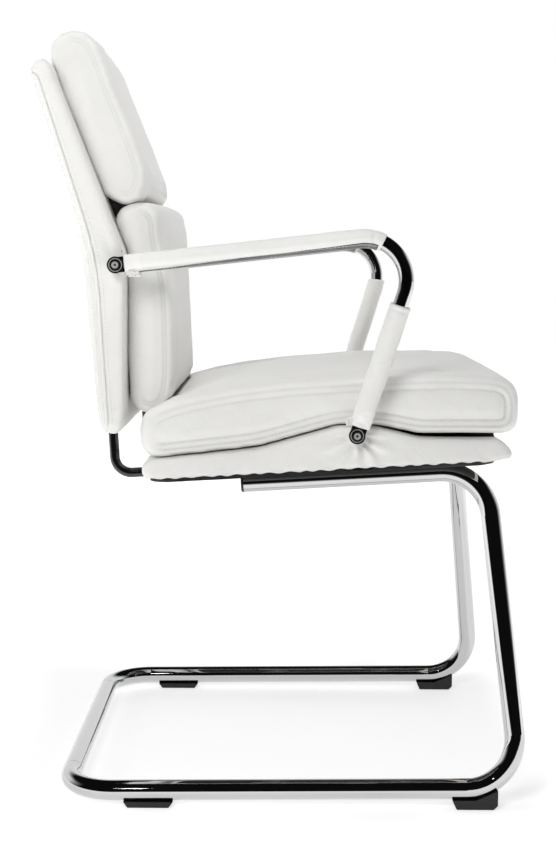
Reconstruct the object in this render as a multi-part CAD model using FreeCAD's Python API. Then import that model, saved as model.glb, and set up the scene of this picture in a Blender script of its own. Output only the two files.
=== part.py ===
import FreeCAD, Part
import math
import os
from FreeCAD import Vector, Rotation, Placement

# Visitor chair on a sprung tube frame. Millimetres and degrees, +Z up.
# The chair faces -Y, X runs across it, and the sitter's left is +X.
# Places along Y are counted from the seat datum, a line under the middle of the seat.

# Chromed tube frame
frame_tube_diameter = 25.0
frame_tube_wall = 2.0
frame_bend_radius = 60.0
rear_corner_radius = 60.0
rail_spacing = 337.0
runner_spacing = 480.0
rail_rear_reach = 82.0
rail_front_reach = 218.0
runner_front_reach = 258.6
rear_tube_reach = 296.9
corner_stub_length = 8.0
spigot_depth = 7.0
cross_spigot_depth = 30.0
spigot_clearance = 0.15

# Seat plane
seat_underside_height = 407.2
seat_tilt_angle = 3.4

# Cross bars welded on the rails, and the seat bolts that pass through them
cross_bar_thickness = 3.0
cross_bar_width = 42.0
cross_bar_overhang = 14.0
cross_bar_corner = 8.0
front_bar_reach = 145.0
rear_bar_reach = 48.0
seat_bolt_half_spacing = 105.0
seat_bolt_diameter = 6.0
seat_bolt_head_diameter = 11.0
seat_bolt_head_height = 4.0
seat_washer_diameter = 14.0
seat_washer_thickness = 1.5
bolt_play = 0.3
thread_play = 0.1

# Black plugs in the rail ends
cap_head_length = 3.2
cap_plug_length = 15.0
cap_edge_bevel = 1.6
cap_rib_height = 0.9
cap_rib_width = 2.0
cap_rib_shares = (0.25, 0.6)

# Feet under the runners
rear_foot_height = 5.6
rear_foot_length = 60.0
rear_foot_setback = 102.9
rear_foot_taper = 5.0
front_foot_height = 9.8
front_foot_reach = 203.0
front_foot_rear_length = 28.0
front_foot_front_length = 27.0
front_foot_taper = 5.0
front_foot_rise = 12.0
front_foot_nose = 5.0
foot_width = 24.0
foot_corner = 2.0
foot_saddle_rise = 1.5
foot_clearance = 0.1
foot_screw_diameter = 4.0
foot_screw_head_diameter = 8.0
foot_screw_head_height = 2.4
foot_screw_recess = 1.0
foot_screw_grip = 9.0

# Seat base: cover panel, plywood board and the padded leather skin over it
underside_panel_thickness = 3.0
underside_panel_inset = 7.0
underside_panel_front_inset = 18.0
seat_board_thickness = 10.0
seat_board_corner = 30.0
seat_skin_width = 9.0
seat_base_half_width = 245.0
seat_base_front_reach = 241.0
seat_base_rear_reach = 200.0
seat_skin_lower_edge = 5.0
seat_base_edge_height = 26.5
seat_base_front_height = 21.5
seat_base_side_round = 10.0
seat_base_corner_round = 11.0
seat_base_lower_round = 6.0
seat_base_plan_round = 16.0

# Line of the seat base's top: the low hump in its middle and the high one at its sides
hump_rear_foot_reach = 60.0
hump_rear_reach = -37.5
hump_front_reach = -81.5
hump_front_foot_reach = -131.0
hump_middle_foot_height = 27.4
hump_middle_height = 29.0
hump_rear_foot_height = 35.0
hump_rear_height = 56.5
hump_front_height = 53.0
hump_front_foot_height = 37.0
hump_top_round = 22.0
hump_foot_round = 110.0
hump_front_foot_round = 60.0
hump_fade_start_inset = 110.0
hump_fade_end_inset = 30.0

# T-nuts set in the seat board
t_nut_flange_diameter = 19.0
t_nut_flange_thickness = 1.5
t_nut_barrel_diameter = 8.0
t_nut_barrel_length = 8.0

# Seat cushion
cushion_side_setback = 7.0
cushion_front_reach = 252.0
cushion_rear_reach = 200.5
cushion_gap = 2.1
cushion_front_foot_gap = 6.0
cushion_front_gap = 14.0
cushion_front_height = 102.0
cushion_top_height = 113.0
cushion_top_reach = 60.0
cushion_drop_height = 91.5
cushion_drop_reach = 150.0
cushion_rear_height = 70.0
cushion_crown = 13.0
cushion_drop_crown = 9.0
cushion_rear_crown = 6.0
cushion_front_crown = 1.0
cushion_side_round = 20.0
cushion_top_inset = 15.0
cushion_front_round = 27.0
cushion_lower_front_round = 13.0
cushion_rear_round = 12.0
cushion_lower_rear_round = 18.0
cushion_top_round = 900.0
cushion_drop_round = 90.0
cushion_plan_round = 20.0
felt_rear_reach = 176.0
felt_front_reach = 228.0
felt_edge_round = 0.4

# Black rods that carry the back
rod_diameter = 12.0
rod_side_setback = 51.0
rod_bend_radius = 20.0
rod_centre_height = 7.5
rod_seat_reach = 118.0
rod_back_rise = 112.0
rod_clearance = 0.3
rod_plate_thickness = 3.0
rod_plate_width = 34.0
rod_seat_plate_length = 70.0
rod_back_plate_length = 84.0
rod_plate_edge = 6.0
link_screw_diameter = 4.5
link_screw_head_diameter = 8.5
link_screw_head_height = 2.4
link_screw_length = 9.0
link_screw_offset = 11.5
link_screw_edge = 14.0

# Back: bent board, padded leather front and leather rear panel
back_knee_reach = 251.2
back_knee_height = 662.1
back_lower_angle = 3.3
back_upper_angle = 17.7
back_lower_run = 206.0
back_upper_run = 228.0
back_bend_radius = 380.0
back_side_setback = 2.0
back_side_round = 9.0
back_front_inset = 2.0
back_plan_round = 14.0
back_front_bottom_depth = 18.5
back_front_knee_depth = 31.7
back_front_knee_rise = 5.9
back_front_angle = 21.4
back_front_upper_run = 241.0
back_front_knee_round = 45.0
back_front_bottom_round = 12.0
back_front_top_round = 8.0
back_rear_top_depth = 7.0
back_rear_top_rise = 3.0
back_rear_knee_depth = 18.5
back_rear_knee_rise = 32.3
back_rear_bottom_depth = 11.5
back_rear_bottom_rise = 6.0
back_rear_knee_round = 500.0
back_rear_round = 7.0
back_board_thickness = 9.0
back_board_space = 8.5
back_board_edge = 12.0
back_board_lower_edge = 14.0
back_board_upper_edge = 16.0
back_board_corner = 26.0
rear_panel_hollow = 6.8

# Black lining between the back and its two cushions
lining_thickness = 1.5
lining_side_setback = 67.0
lining_lower_reach = 172.0
lining_upper_reach = 222.0
lining_ridge_lower = 48.0
lining_ridge_upper = 70.0
lining_ridge_depth = 8.0
lining_ridge_rise = 58.0
soft_clearance = 0.3
cushion_rear_inset = 3.0

# Lumbar cushion
lumbar_side_setback = 42.0
lumbar_lower_reach = 190.0
lumbar_rear_rise = 50.0
lumbar_top_rise = 62.0
lumbar_upper_depth = 39.5
lumbar_lower_depth = 52.5
lumbar_crown = 8.0
lumbar_top_swell = 0.5
lumbar_bottom_rise = 11.0
lumbar_side_round = 26.0
lumbar_front_inset = 11.0
lumbar_shoulder_depth = 24.0
lumbar_shoulder_drop = 6.0
lumbar_shoulder_round = 8.5
lumbar_front_round = 25.0
lumbar_rear_round = 15.0
lumbar_plan_round = 24.0

# Head cushion
head_side_setback = 43.0
head_lower_reach = 62.0
head_upper_reach = 267.0
head_thickness = 48.0
head_crown = 4.0
head_end_swell = 2.5
head_top_swell = 6.0
head_side_round = 35.0
head_front_inset = 18.0
head_lower_round = 17.0
head_upper_rear_round = 20.0
head_upper_front_round = 15.0
head_plan_round = 24.0

# Arms
arm_tube_diameter = 18.0
arm_tube_wall = 1.5
arm_bend_radius = 49.0
arm_corner_half_spacing = 276.5
arm_corner_reach = 128.7
arm_corner_height = 693.5
arm_rear_bolt_reach = 226.5
arm_rear_bolt_height = 654.0
arm_seat_bolt_reach = 57.5
arm_seat_bolt_rise = 46.0
arm_tongue_thickness = 4.0
arm_tongue_width = 18.0
arm_tongue_run = 14.0
arm_flare_run = 30.0
arm_flare_thickness = 5.5
upper_sleeve_wall = 1.4
upper_sleeve_gap = 13.0
upper_sleeve_turn_angle = 33.0
upper_sleeve_end_depth = 9.5
lower_sleeve_wall = 3.2
lower_sleeve_gap = 12.0
lower_sleeve_start_right = 15.5
lower_sleeve_start_left = 0.5
lower_sleeve_end_depth = 13.0
sleeve_clearance = 0.15

# Arm fixings: bolt, grooved washer, spacer and the bracket inside the padding
arm_bolt_diameter = 6.0
arm_bolt_head_diameter = 10.0
arm_bolt_head_height = 3.6
arm_bolt_head_bevel = 1.2
arm_bolt_socket_width = 4.0
arm_bolt_socket_depth = 2.2
arm_bolt_grip = 6.0
arm_washer_diameter = 19.5
arm_washer_thickness = 3.0
arm_washer_groove_depth = 0.6
arm_washer_groove_width = 1.2
arm_washer_groove_radius = 7.6
arm_spacer_diameter = 11.0
spacer_clearance = 0.3
arm_spacer_length = 14.7
bracket_thickness = 3.0
bracket_board_clearance = 0.3
bracket_width = 34.0
bracket_foot_length = 44.0
bracket_top_margin = 6.5
bracket_front_margin = 5.5
bracket_nut_diameter = 10.0
bracket_nut_height = 5.5
bracket_skin_clearance = 0.3
bracket_screw_inset = 12.0
bracket_screw_half_spacing = 10.0
bracket_corner = 9.0

# One overrun serves every cut
overrun = 2.0

# Where the lofted forms have their sections, as shares of the flat width, and how far
# each end section has turned into the rounded side
crown_shares = (0.0, 0.3, 0.58, 0.82, 1.0)
side_angles = (30.0, 60.0, 90.0)

tube_radius = frame_tube_diameter / 2
bore_radius = tube_radius - frame_tube_wall
rail_drop = cross_bar_thickness + tube_radius
seat_board_low = underside_panel_thickness
seat_board_top = seat_board_low + seat_board_thickness
seat_board_half_width = seat_base_half_width - seat_skin_width
hump_fade_start = seat_base_half_width - hump_fade_start_inset
hump_fade_end = seat_base_half_width - hump_fade_end_inset
cushion_half_width = seat_base_half_width - cushion_side_setback
back_half_width = seat_base_half_width - back_side_setback
rod_half_spacing = back_half_width - rod_side_setback
lining_half_width = back_half_width - lining_side_setback
lumbar_half_width = back_half_width - lumbar_side_setback
head_half_width = back_half_width - head_side_setback
seat_plane = Placement(Vector(0, 0, seat_underside_height), Rotation(Vector(1, 0, 0), -seat_tilt_angle))
bracket_inner = seat_board_half_width + bracket_board_clearance
bracket_outer = bracket_inner + bracket_thickness
tongue_inner = bracket_outer + arm_spacer_length
tongue_centre = tongue_inner + arm_tongue_thickness / 2
tongue_outer = tongue_inner + arm_tongue_thickness
arm_radius = arm_tube_diameter / 2
foot_hole_radius = foot_screw_diameter / 2 + thread_play
side_names = (("left", 1), ("right", -1))


def solid_of(shape):
    """The single solid of a result that may be wrapped in a compound."""
    return shape.Solids[0] if len(shape.Solids) == 1 else Part.makeCompound(shape.Solids)


def to_seat(shape):
    """Carry a shape drawn on the level seat plane to its tilted place."""
    placed = shape.copy()
    placed.transformShape(seat_plane.toMatrix())
    return placed


def seat_point(x, reach, height):
    """A point given on the seat plane: across, towards the rear, above the plane."""
    return seat_plane.multVec(Vector(x, reach, height))


def mirrored(shape):
    return shape.mirror(Vector(0, 0, 0), Vector(1, 0, 0))


def on_both_sides(shapes):
    """One compound of the given left-hand shapes and their mirror images."""
    return Part.makeCompound(shapes + [mirrored(shape) for shape in shapes])


def block(x0, x1, y0, y1, z0, z1):
    return Part.makeBox(x1 - x0, y1 - y0, z1 - z0, Vector(x0, y0, z0))


def rod_between(start, end, radius):
    return Part.makeCylinder(radius, (end - start).Length, start, end - start)


def bent_runs(points, radii):
    """Straight runs through the points, joined by tangent arcs at the inner ones.

    Each run is (start, way, length) or (start, way, centre, axis, angle).
    """
    runs = []
    last = points[0]
    for index in range(1, len(points) - 1):
        corner = points[index]
        back = (points[index - 1] - corner).normalize()
        ahead = (points[index + 1] - corner).normalize()
        half = back.getAngle(ahead) / 2
        radius = radii[index - 1]
        start = corner + back * (radius / math.tan(half))
        centre = corner + (back + ahead).normalize() * (radius / math.sin(half))
        runs.append((last, -back, (start - last).Length))
        runs.append((start, -back, centre, ahead.cross(back).normalize(), 180 - 2 * math.degrees(half)))
        last = corner + ahead * (radius / math.tan(half))
    runs.append((last, (points[-1] - last).normalize(), (points[-1] - last).Length))
    return runs


def bent_tube(runs, radius, bore=0):
    """A tube or bar along the runs, each made as a cylinder or a stretch of torus."""
    pieces = []
    for start, way, *rest in runs:
        disc = Part.Face(Part.Wire(Part.makeCircle(radius, start, way)))
        if bore:
            disc = disc.cut(Part.Face(Part.Wire(Part.makeCircle(bore, start, way)))).Faces[0]
        if len(rest) == 1:
            pieces.append(disc.extrude(way * rest[0]))
        else:
            centre, axis, angle = rest
            pieces.append(disc.revolve(centre, axis, angle))
    return solid_of(pieces[0].fuse(pieces[1:]).removeSplitter())


def rounded_outline(corners, radii):
    """Edges of a closed outline in a plane: sides as lines, each corner an arc."""
    count = len(corners)
    starts = []
    for index in range(count):
        corner = corners[index]
        back = (corners[index - 1] - corner).normalize()
        ahead = (corners[(index + 1) % count] - corner).normalize()
        half = back.getAngle(ahead) / 2
        reach = radii[index] / math.tan(half)
        way = (back + ahead).normalize()
        centre = corner + way * (radii[index] / math.sin(half))
        starts.append((corner + back * reach, centre - way * radii[index], corner + ahead * reach))
    edges = []
    for index in range(count):
        before, middle, after = starts[index]
        edges.append(Part.Arc(before, middle, after).toShape())
        edges.append(Part.LineSegment(after, starts[(index + 1) % count][0]).toShape())
    return Part.Wire(edges)


def crossing(start, way, other, other_way):
    """Where two lines in a plane meet, each given by a point and a way."""
    across = way[0] * other_way[1] - way[1] * other_way[0]
    along = ((other[0] - start[0]) * other_way[1] - (other[1] - start[1]) * other_way[0]) / across
    return start[0] + way[0] * along, start[1] + way[1] * along


def moved_sides(corners, moves):
    """Corners of an outline in (across, up) pairs after each side moves outwards."""
    count = len(corners)
    lines = []
    for index in range(count):
        a0, b0 = corners[index]
        a1, b1 = corners[(index + 1) % count]
        length = math.hypot(a1 - a0, b1 - b0)
        out_a = (b1 - b0) / length
        out_b = -(a1 - a0) / length
        lines.append(((a0 + out_a * moves[index], b0 + out_b * moves[index]), (a1 - a0, b1 - b0)))
    return [crossing(*lines[index - 1], *lines[index]) for index in range(count)]


def crown_share(x, flat):
    """How much of a cushion's crown stands at a place across it: all in the middle, none past the flat."""
    return max(1 - (x / flat) ** 2, 0)


def both_ways(places):
    """The same places left and right of the middle, from right to left."""
    return [-place for place in reversed(places) if place] + places


def crown_places(flat):
    """Places across the chair, from the middle to the end of the flat, for the sections of a crown."""
    return [flat * share for share in crown_shares]


def soft_form(corners_at, radii, places, half_width, side_round, insets):
    """A padded form lofted across the chair through sections at the given places and round its sides.

    The outline's corners may change with x. Its sides draw in by their insets, one
    for each side of the outline, where the form rounds off at its left and right.
    """
    flat = half_width - side_round
    turns = {place: 0.0 for place in places}
    for angle in side_angles:
        turns[flat + side_round * math.sin(math.radians(angle))] = 1 - math.cos(math.radians(angle))
    sections = []
    for x in both_ways(list(turns)):
        turn = turns[abs(x)]
        outline = moved_sides(corners_at(x), [-inset * turn for inset in insets])
        points = [Vector(x, a, b) for a, b in outline]
        sections.append(rounded_outline(points, [radius * (1 - turn / 2) for radius in radii]))
    return solid_of(Part.makeLoft(sections, True, True))


def drilled(shape, start, end, radius):
    way = (end - start).normalize() * overrun
    return shape.cut(rod_between(start - way, end + way, radius))


def plate_outline(x0, x1, y0, y1, corner, height, thickness):
    """A flat plate with four round corners, lying on the plane at the given height."""
    points = [Vector(x0, y0, height), Vector(x1, y0, height), Vector(x1, y1, height), Vector(x0, y1, height)]
    face = Part.Face(rounded_outline(points, [corner] * len(points)))
    return face.extrude(Vector(0, 0, thickness))


def hexagon(centre, first, second):
    """A six-sided face, given its corner radius along two ways at right angles."""
    turns = [math.radians(angle) for angle in range(0, 360, 60)]
    corners = [centre + first * math.cos(turn) + second * math.sin(turn) for turn in turns]
    return Part.Face(Part.makePolygon(corners + corners[:1]))


# Tube frame
rear_foot_reach = rear_tube_reach - rear_foot_setback
foot_line_run = rear_foot_reach + front_foot_reach
foot_places = (rear_foot_reach, -front_foot_reach)


def runner_height(reach):
    """Height of the runner's centre line at a place along the chair."""
    share = (rear_foot_reach - reach) / foot_line_run
    return tube_radius + rear_foot_height + (front_foot_height - rear_foot_height) * share


rail_x = rail_spacing / 2
runner_x = runner_spacing / 2
joint_x = runner_x - rear_corner_radius - corner_stub_length
rear_tube_height = runner_height(rear_tube_reach)


def side_frame():
    """One side of the frame: rail, leg, runner and rear corner as one bent tube."""
    points = [
        seat_point(rail_x, rail_rear_reach, -rail_drop),
        seat_point(rail_x, -rail_front_reach, -rail_drop),
        Vector(runner_x, -runner_front_reach, runner_height(-runner_front_reach)),
        Vector(runner_x, rear_tube_reach, rear_tube_height),
        Vector(joint_x, rear_tube_reach, rear_tube_height),
    ]
    runs = bent_runs(points, [frame_bend_radius, frame_bend_radius, rear_corner_radius])
    tube = bent_tube(runs, tube_radius, bore_radius)
    for place in foot_places:
        low = Vector(runner_x, place, 0)
        tube = tube.cut(rod_between(low, Vector(runner_x, place, runner_height(place)), foot_hole_radius))
    return solid_of(tube)


def rear_cross_tube():
    start = Vector(-joint_x, rear_tube_reach, rear_tube_height)
    end = Vector(joint_x, rear_tube_reach, rear_tube_height)
    tube = rod_between(start, end, tube_radius)
    return drilled(tube, start, end, bore_radius)


def joint_spigots():
    """Short inner tubes that line up the rear cross tube with both side frames."""
    spigots = []
    for sign in (1, -1):
        outer = Vector(sign * (joint_x + spigot_depth), rear_tube_reach, rear_tube_height)
        inner = Vector(sign * (joint_x - cross_spigot_depth), rear_tube_reach, rear_tube_height)
        tube = rod_between(inner, outer, bore_radius - spigot_clearance)
        spigots.append(drilled(tube, inner, outer, bore_radius - spigot_clearance - frame_tube_wall))
    return Part.makeCompound(spigots)


def rail_end_caps():
    """Plugs with a bevelled head and gripping ribs, drawn on the seat plane."""
    head = Part.makeCylinder(tube_radius, cap_head_length)
    head = head.makeChamfer(cap_edge_bevel, [e for e in head.Edges if e.CenterOfMass.z > cap_head_length / 2
                                             and e.Curve.TypeId == "Part::GeomCircle"])
    plug = Part.makeCylinder(bore_radius - cap_rib_height, cap_plug_length, Vector(0, 0, -cap_plug_length))
    ribs = []
    for share in cap_rib_shares:
        place = -cap_plug_length * share - cap_rib_width / 2
        ribs.append(Part.makeCylinder(bore_radius - spigot_clearance, cap_rib_width, Vector(0, 0, place)))
    cap = head.fuse([plug] + ribs).removeSplitter()
    cap.rotate(Vector(0, 0, 0), Vector(1, 0, 0), -90)
    cap.translate(Vector(rail_x, rail_rear_reach, -rail_drop))
    return on_both_sides([to_seat(cap)])


# Cross bars and seat bolts
bar_places = (("front", -front_bar_reach), ("rear", rear_bar_reach))


def cross_bar(place):
    half = rail_x + cross_bar_overhang
    bar = plate_outline(-half, half, place - cross_bar_width / 2, place + cross_bar_width / 2,
                        cross_bar_corner, -cross_bar_thickness, cross_bar_thickness)
    for sign in (1, -1):
        hole = Vector(sign * seat_bolt_half_spacing, place, -cross_bar_thickness)
        bar = drilled(bar, hole, hole + Vector(0, 0, cross_bar_thickness), seat_bolt_diameter / 2 + bolt_play)
    return to_seat(bar)


def seat_bolt_axes():
    return [(sign * seat_bolt_half_spacing, place) for name, place in bar_places for sign in (1, -1)]


bolt_seat = -cross_bar_thickness - seat_washer_thickness
t_nut_low = seat_board_top - t_nut_barrel_length


def seat_bolts():
    """Hexagon bolts from below, up into the T-nuts."""
    bolts = []
    for x, place in seat_bolt_axes():
        low = Vector(x, place, bolt_seat)
        reach = seat_bolt_head_diameter / 2
        face = hexagon(low, Vector(reach, 0, 0), Vector(0, reach, 0))
        head = face.extrude(Vector(0, 0, -seat_bolt_head_height))
        shank = rod_between(low, Vector(x, place, seat_board_top), seat_bolt_diameter / 2)
        bolts.append(to_seat(head.fuse(shank).removeSplitter()))
    return Part.makeCompound(bolts)


def seat_bolt_washers():
    washers = []
    for x, place in seat_bolt_axes():
        low = Vector(x, place, bolt_seat)
        high = low + Vector(0, 0, seat_washer_thickness)
        washer = rod_between(low, high, seat_washer_diameter / 2)
        washers.append(to_seat(drilled(washer, low, high, seat_bolt_diameter / 2 + bolt_play)))
    return Part.makeCompound(washers)


def seat_t_nuts():
    nuts = []
    for x, place in seat_bolt_axes():
        low = Vector(x, place, t_nut_low)
        top = Vector(x, place, seat_board_top + t_nut_flange_thickness)
        barrel = rod_between(low, top, t_nut_barrel_diameter / 2)
        flange = rod_between(Vector(x, place, seat_board_top), top, t_nut_flange_diameter / 2)
        nuts.append(to_seat(drilled(barrel.fuse(flange), low, top, seat_bolt_diameter / 2 + thread_play)))
    return Part.makeCompound(nuts)


# Feet
def foot_body(place, corners, height_at_place):
    """A foot cut to the runner it holds, from its side outline."""
    points = [Vector(-foot_width / 2, place + a, b) for a, b in corners]
    outline = Part.makePolygon(points + points[:1])
    foot = Part.Face(outline).extrude(Vector(foot_width, 0, 0))
    boxes = [(edge, edge.BoundBox) for edge in foot.Edges]
    floor_edges = [edge for edge, box in boxes if box.ZMax < foot_corner and box.YLength < foot_corner]
    foot = foot.makeFillet(foot_corner, floor_edges)
    head = Part.makeCylinder(foot_screw_head_diameter / 2 + foot_clearance,
                             foot_screw_recess + foot_screw_head_height + overrun, Vector(0, place, -overrun))
    hole = Part.makeCylinder(foot_screw_diameter / 2 + foot_clearance, height_at_place, Vector(0, place, 0))
    return foot.cut(head).cut(hole)


def runner_cutter():
    """Leg, lower bend and runner of a side frame, grown by the foot clearance."""
    points = [
        seat_point(rail_x, -rail_front_reach, -rail_drop),
        Vector(runner_x, -runner_front_reach, runner_height(-runner_front_reach)),
        Vector(runner_x, rear_tube_reach, rear_tube_height),
    ]
    return bent_tube(bent_runs(points, [frame_bend_radius]), tube_radius + foot_clearance)


def rear_foot():
    half = rear_foot_length / 2
    top = rear_foot_height + foot_saddle_rise
    outline = [(-half + rear_foot_taper, 0), (half - rear_foot_taper, 0), (half, top), (-half, top)]
    foot = foot_body(rear_foot_reach, outline, runner_height(rear_foot_reach))
    foot.translate(Vector(runner_x, 0, 0))
    return solid_of(foot.cut(runner_cutter()))


def front_foot():
    top = front_foot_height + foot_saddle_rise
    outline = [
        (-front_foot_front_length + front_foot_nose, 0),
        (front_foot_rear_length - front_foot_taper, 0),
        (front_foot_rear_length, top),
        (0, top),
        (-front_foot_front_length, top + front_foot_rise),
        (-front_foot_front_length, front_foot_nose),
    ]
    foot = foot_body(-front_foot_reach, outline, runner_height(-front_foot_reach))
    foot.translate(Vector(runner_x, 0, 0))
    return solid_of(foot.cut(runner_cutter()))


def foot_screws():
    screws = []
    for sign in (1, -1):
        for place in foot_places:
            base = Vector(sign * runner_x, place, foot_screw_recess)
            head = Part.makeCylinder(foot_screw_head_diameter / 2, foot_screw_head_height, base)
            reach = runner_height(place) - bore_radius - foot_screw_recess + foot_screw_grip
            shank = Part.makeCylinder(foot_screw_diameter / 2, reach, base)
            screws.append(head.fuse(shank).removeSplitter())
    return Part.makeCompound(screws)


# Seat base
hump_centre = -arm_seat_bolt_reach


def hump_share(x):
    """How much of the side hump over the arm brackets stands at a place across the seat."""
    share = (abs(x) - hump_fade_start) / (hump_fade_end - hump_fade_start)
    share = min(max(share, 0), 1)
    return share * share * (3 - 2 * share)


def base_top(x):
    """Corners of the seat base's upper line from rear to front, at a place across."""
    share = hump_share(x)
    line = (
        (hump_rear_foot_reach, hump_middle_foot_height, hump_rear_foot_height),
        (hump_rear_reach, hump_middle_height, hump_rear_height),
        (hump_front_reach, hump_middle_height, hump_front_height),
        (hump_front_foot_reach, hump_middle_foot_height, hump_front_foot_height),
    )
    return [(reach, middle + (side - middle) * share) for reach, middle, side in line]


def base_corners(x):
    return [
        (-seat_base_front_reach, seat_skin_lower_edge),
        (seat_base_rear_reach, seat_skin_lower_edge),
        (seat_base_rear_reach, seat_base_edge_height),
        *base_top(x),
        (-seat_base_front_reach, seat_base_front_height),
    ]


def seat_base_form():
    radii = [seat_base_lower_round, seat_base_lower_round, seat_base_corner_round, hump_foot_round,
             hump_top_round, hump_top_round, hump_front_foot_round, seat_base_corner_round]
    plan = seat_base_plan_round
    side = seat_base_side_round
    insets = [0, plan, side, side, side, side, side, plan]
    places = cushion_places + [seat_base_half_width - side]
    return soft_form(base_corners, radii, places, seat_base_half_width, side, insets)


cushion_places = crown_places(cushion_half_width - cushion_side_round)
seat_rear_edge = seat_base_rear_reach - seat_skin_width
seat_front_edge = -seat_base_front_reach + seat_skin_width


def seat_board_blank(low, thickness):
    """Outline of the plywood board on the seat plane, with its lower side at the given height."""
    half = seat_board_half_width
    return plate_outline(-half, half, seat_front_edge, seat_rear_edge, seat_board_corner, low, thickness)


def rod_slot(sign, side_play, low, high):
    """Slot from the rear edge that takes the level end of a rod."""
    x = sign * rod_half_spacing
    half = rod_diameter / 2 + side_play
    return block(x - half, x + half, rod_seat_reach - side_play, seat_base_rear_reach + overrun, low, high)


def seat_board():
    board = seat_board_blank(seat_board_low, seat_board_thickness)
    for sign in (1, -1):
        board = board.cut(rod_slot(sign, rod_clearance, seat_board_low - overrun, seat_board_top + overrun))
    for x, place in seat_bolt_axes():
        low = Vector(x, place, seat_board_low)
        board = drilled(board, low, Vector(x, place, seat_board_top), t_nut_barrel_diameter / 2 + thread_play)
    for start, end in seat_screw_axes():
        board = board.cut(rod_between(start, end, link_screw_diameter / 2 + thread_play))
    return to_seat(board)


def underside_cover():
    inset = underside_panel_inset
    half = seat_base_half_width - inset
    front = -seat_base_front_reach + underside_panel_front_inset
    cover = plate_outline(-half, half, front, seat_base_rear_reach - inset,
                          seat_board_corner, 0, underside_panel_thickness)
    for sign in (1, -1):
        cover = cover.cut(rod_slot(sign, rod_clearance, -overrun, underside_panel_thickness + overrun))
    for x, place in seat_bolt_axes():
        cover = drilled(cover, Vector(x, place, 0), Vector(x, place, underside_panel_thickness),
                        seat_bolt_diameter / 2 + bolt_play)
    return to_seat(cover)


def seat_shell():
    """Padded leather skin over the seat board, hollowed for all that it covers."""
    shell = seat_base_form()
    cutters = [seat_board_blank(-overrun, seat_board_top + overrun)]
    for sign in (1, -1):
        x = sign * rod_half_spacing
        cutters.append(rod_slot(sign, rod_clearance, seat_skin_lower_edge - overrun,
                                rod_centre_height + rod_diameter / 2 + rod_clearance))
        half = rod_plate_width / 2 + rod_clearance
        cutters.append(block(x - half, x + half, rod_seat_reach - rod_clearance,
                             rod_seat_reach + rod_seat_plate_length + rod_clearance, seat_board_top - overrun,
                             seat_board_top + rod_plate_thickness + link_screw_head_height + rod_clearance))
        cutters.append(bracket_pocket(sign))
    for x, place in seat_bolt_axes():
        top = seat_board_top + t_nut_flange_thickness
        cutters.append(rod_between(Vector(x, place, seat_board_low), Vector(x, place, top),
                                   t_nut_flange_diameter / 2 + thread_play))
    return to_seat(solid_of(shell.cut(cutters)))


def bracket_pocket(sign):
    """Room in the seat padding for a bracket, its nut, its screws and the spacer."""
    play = bracket_skin_clearance
    centre = hump_centre
    half = bracket_width / 2 + play
    top = arm_seat_bolt_rise + bracket_top_margin + play
    upright = block(bracket_inner - play, bracket_outer + play, centre - half, centre + half, 0, top)
    foot = block(bracket_inner - bracket_foot_length - play, bracket_inner, centre - half, centre + half,
                 seat_board_top - overrun, seat_board_top + bracket_thickness + link_screw_head_height + play)
    axis_in = Vector(bracket_inner - bracket_nut_height - play - arm_bolt_grip, centre, arm_seat_bolt_rise)
    nut_end = Vector(bracket_inner, centre, arm_seat_bolt_rise)
    nut = rod_between(axis_in, nut_end, bracket_nut_diameter / 2 + play)
    spacer = rod_between(Vector(bracket_outer, centre, arm_seat_bolt_rise),
                         Vector(seat_base_half_width + overrun, centre, arm_seat_bolt_rise),
                         arm_spacer_diameter / 2 + spacer_clearance)
    room = upright.fuse([foot, nut, spacer])
    return room if sign > 0 else mirrored(room)


# Seat cushion and the felt under it
def under_line(x, share):
    """A line between seat base and cushion: share 0 lies on the base, 1 under the cushion."""
    gaps = (cushion_gap, cushion_gap, cushion_gap, cushion_front_foot_gap)
    return [(reach, height + gap * share) for (reach, height), gap in zip(base_top(x), gaps)]


def cushion_corners(x):
    line = under_line(x, 1)
    crown = crown_share(x, cushion_half_width - cushion_side_round)
    return [
        (-cushion_front_reach, seat_base_front_height + cushion_front_gap),
        line[3], line[2], line[1], line[0],
        (cushion_rear_reach, seat_base_edge_height + cushion_gap),
        (cushion_rear_reach, cushion_rear_height + cushion_rear_crown * crown),
        (cushion_drop_reach, cushion_drop_height + cushion_drop_crown * crown),
        (-cushion_top_reach, cushion_top_height + cushion_crown * crown),
        (-cushion_front_reach, cushion_front_height + cushion_front_crown * crown),
    ]


def seat_cushion():
    radii = [cushion_lower_front_round, hump_front_foot_round, hump_top_round, hump_top_round,
             hump_foot_round, cushion_lower_rear_round, cushion_rear_round, cushion_drop_round,
             cushion_top_round, cushion_front_round]
    top = cushion_top_inset
    plan = cushion_plan_round
    insets = [0, 0, 0, 0, 0, plan, top, top, top, plan]
    form = soft_form(cushion_corners, radii, cushion_places, cushion_half_width, cushion_side_round, insets)
    return to_seat(form)


def on_line(start, end, reach):
    """Height of the straight line through two (reach, height) points at a reach."""
    return start[1] + (end[1] - start[1]) * (reach - start[0]) / (end[0] - start[0])


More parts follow.
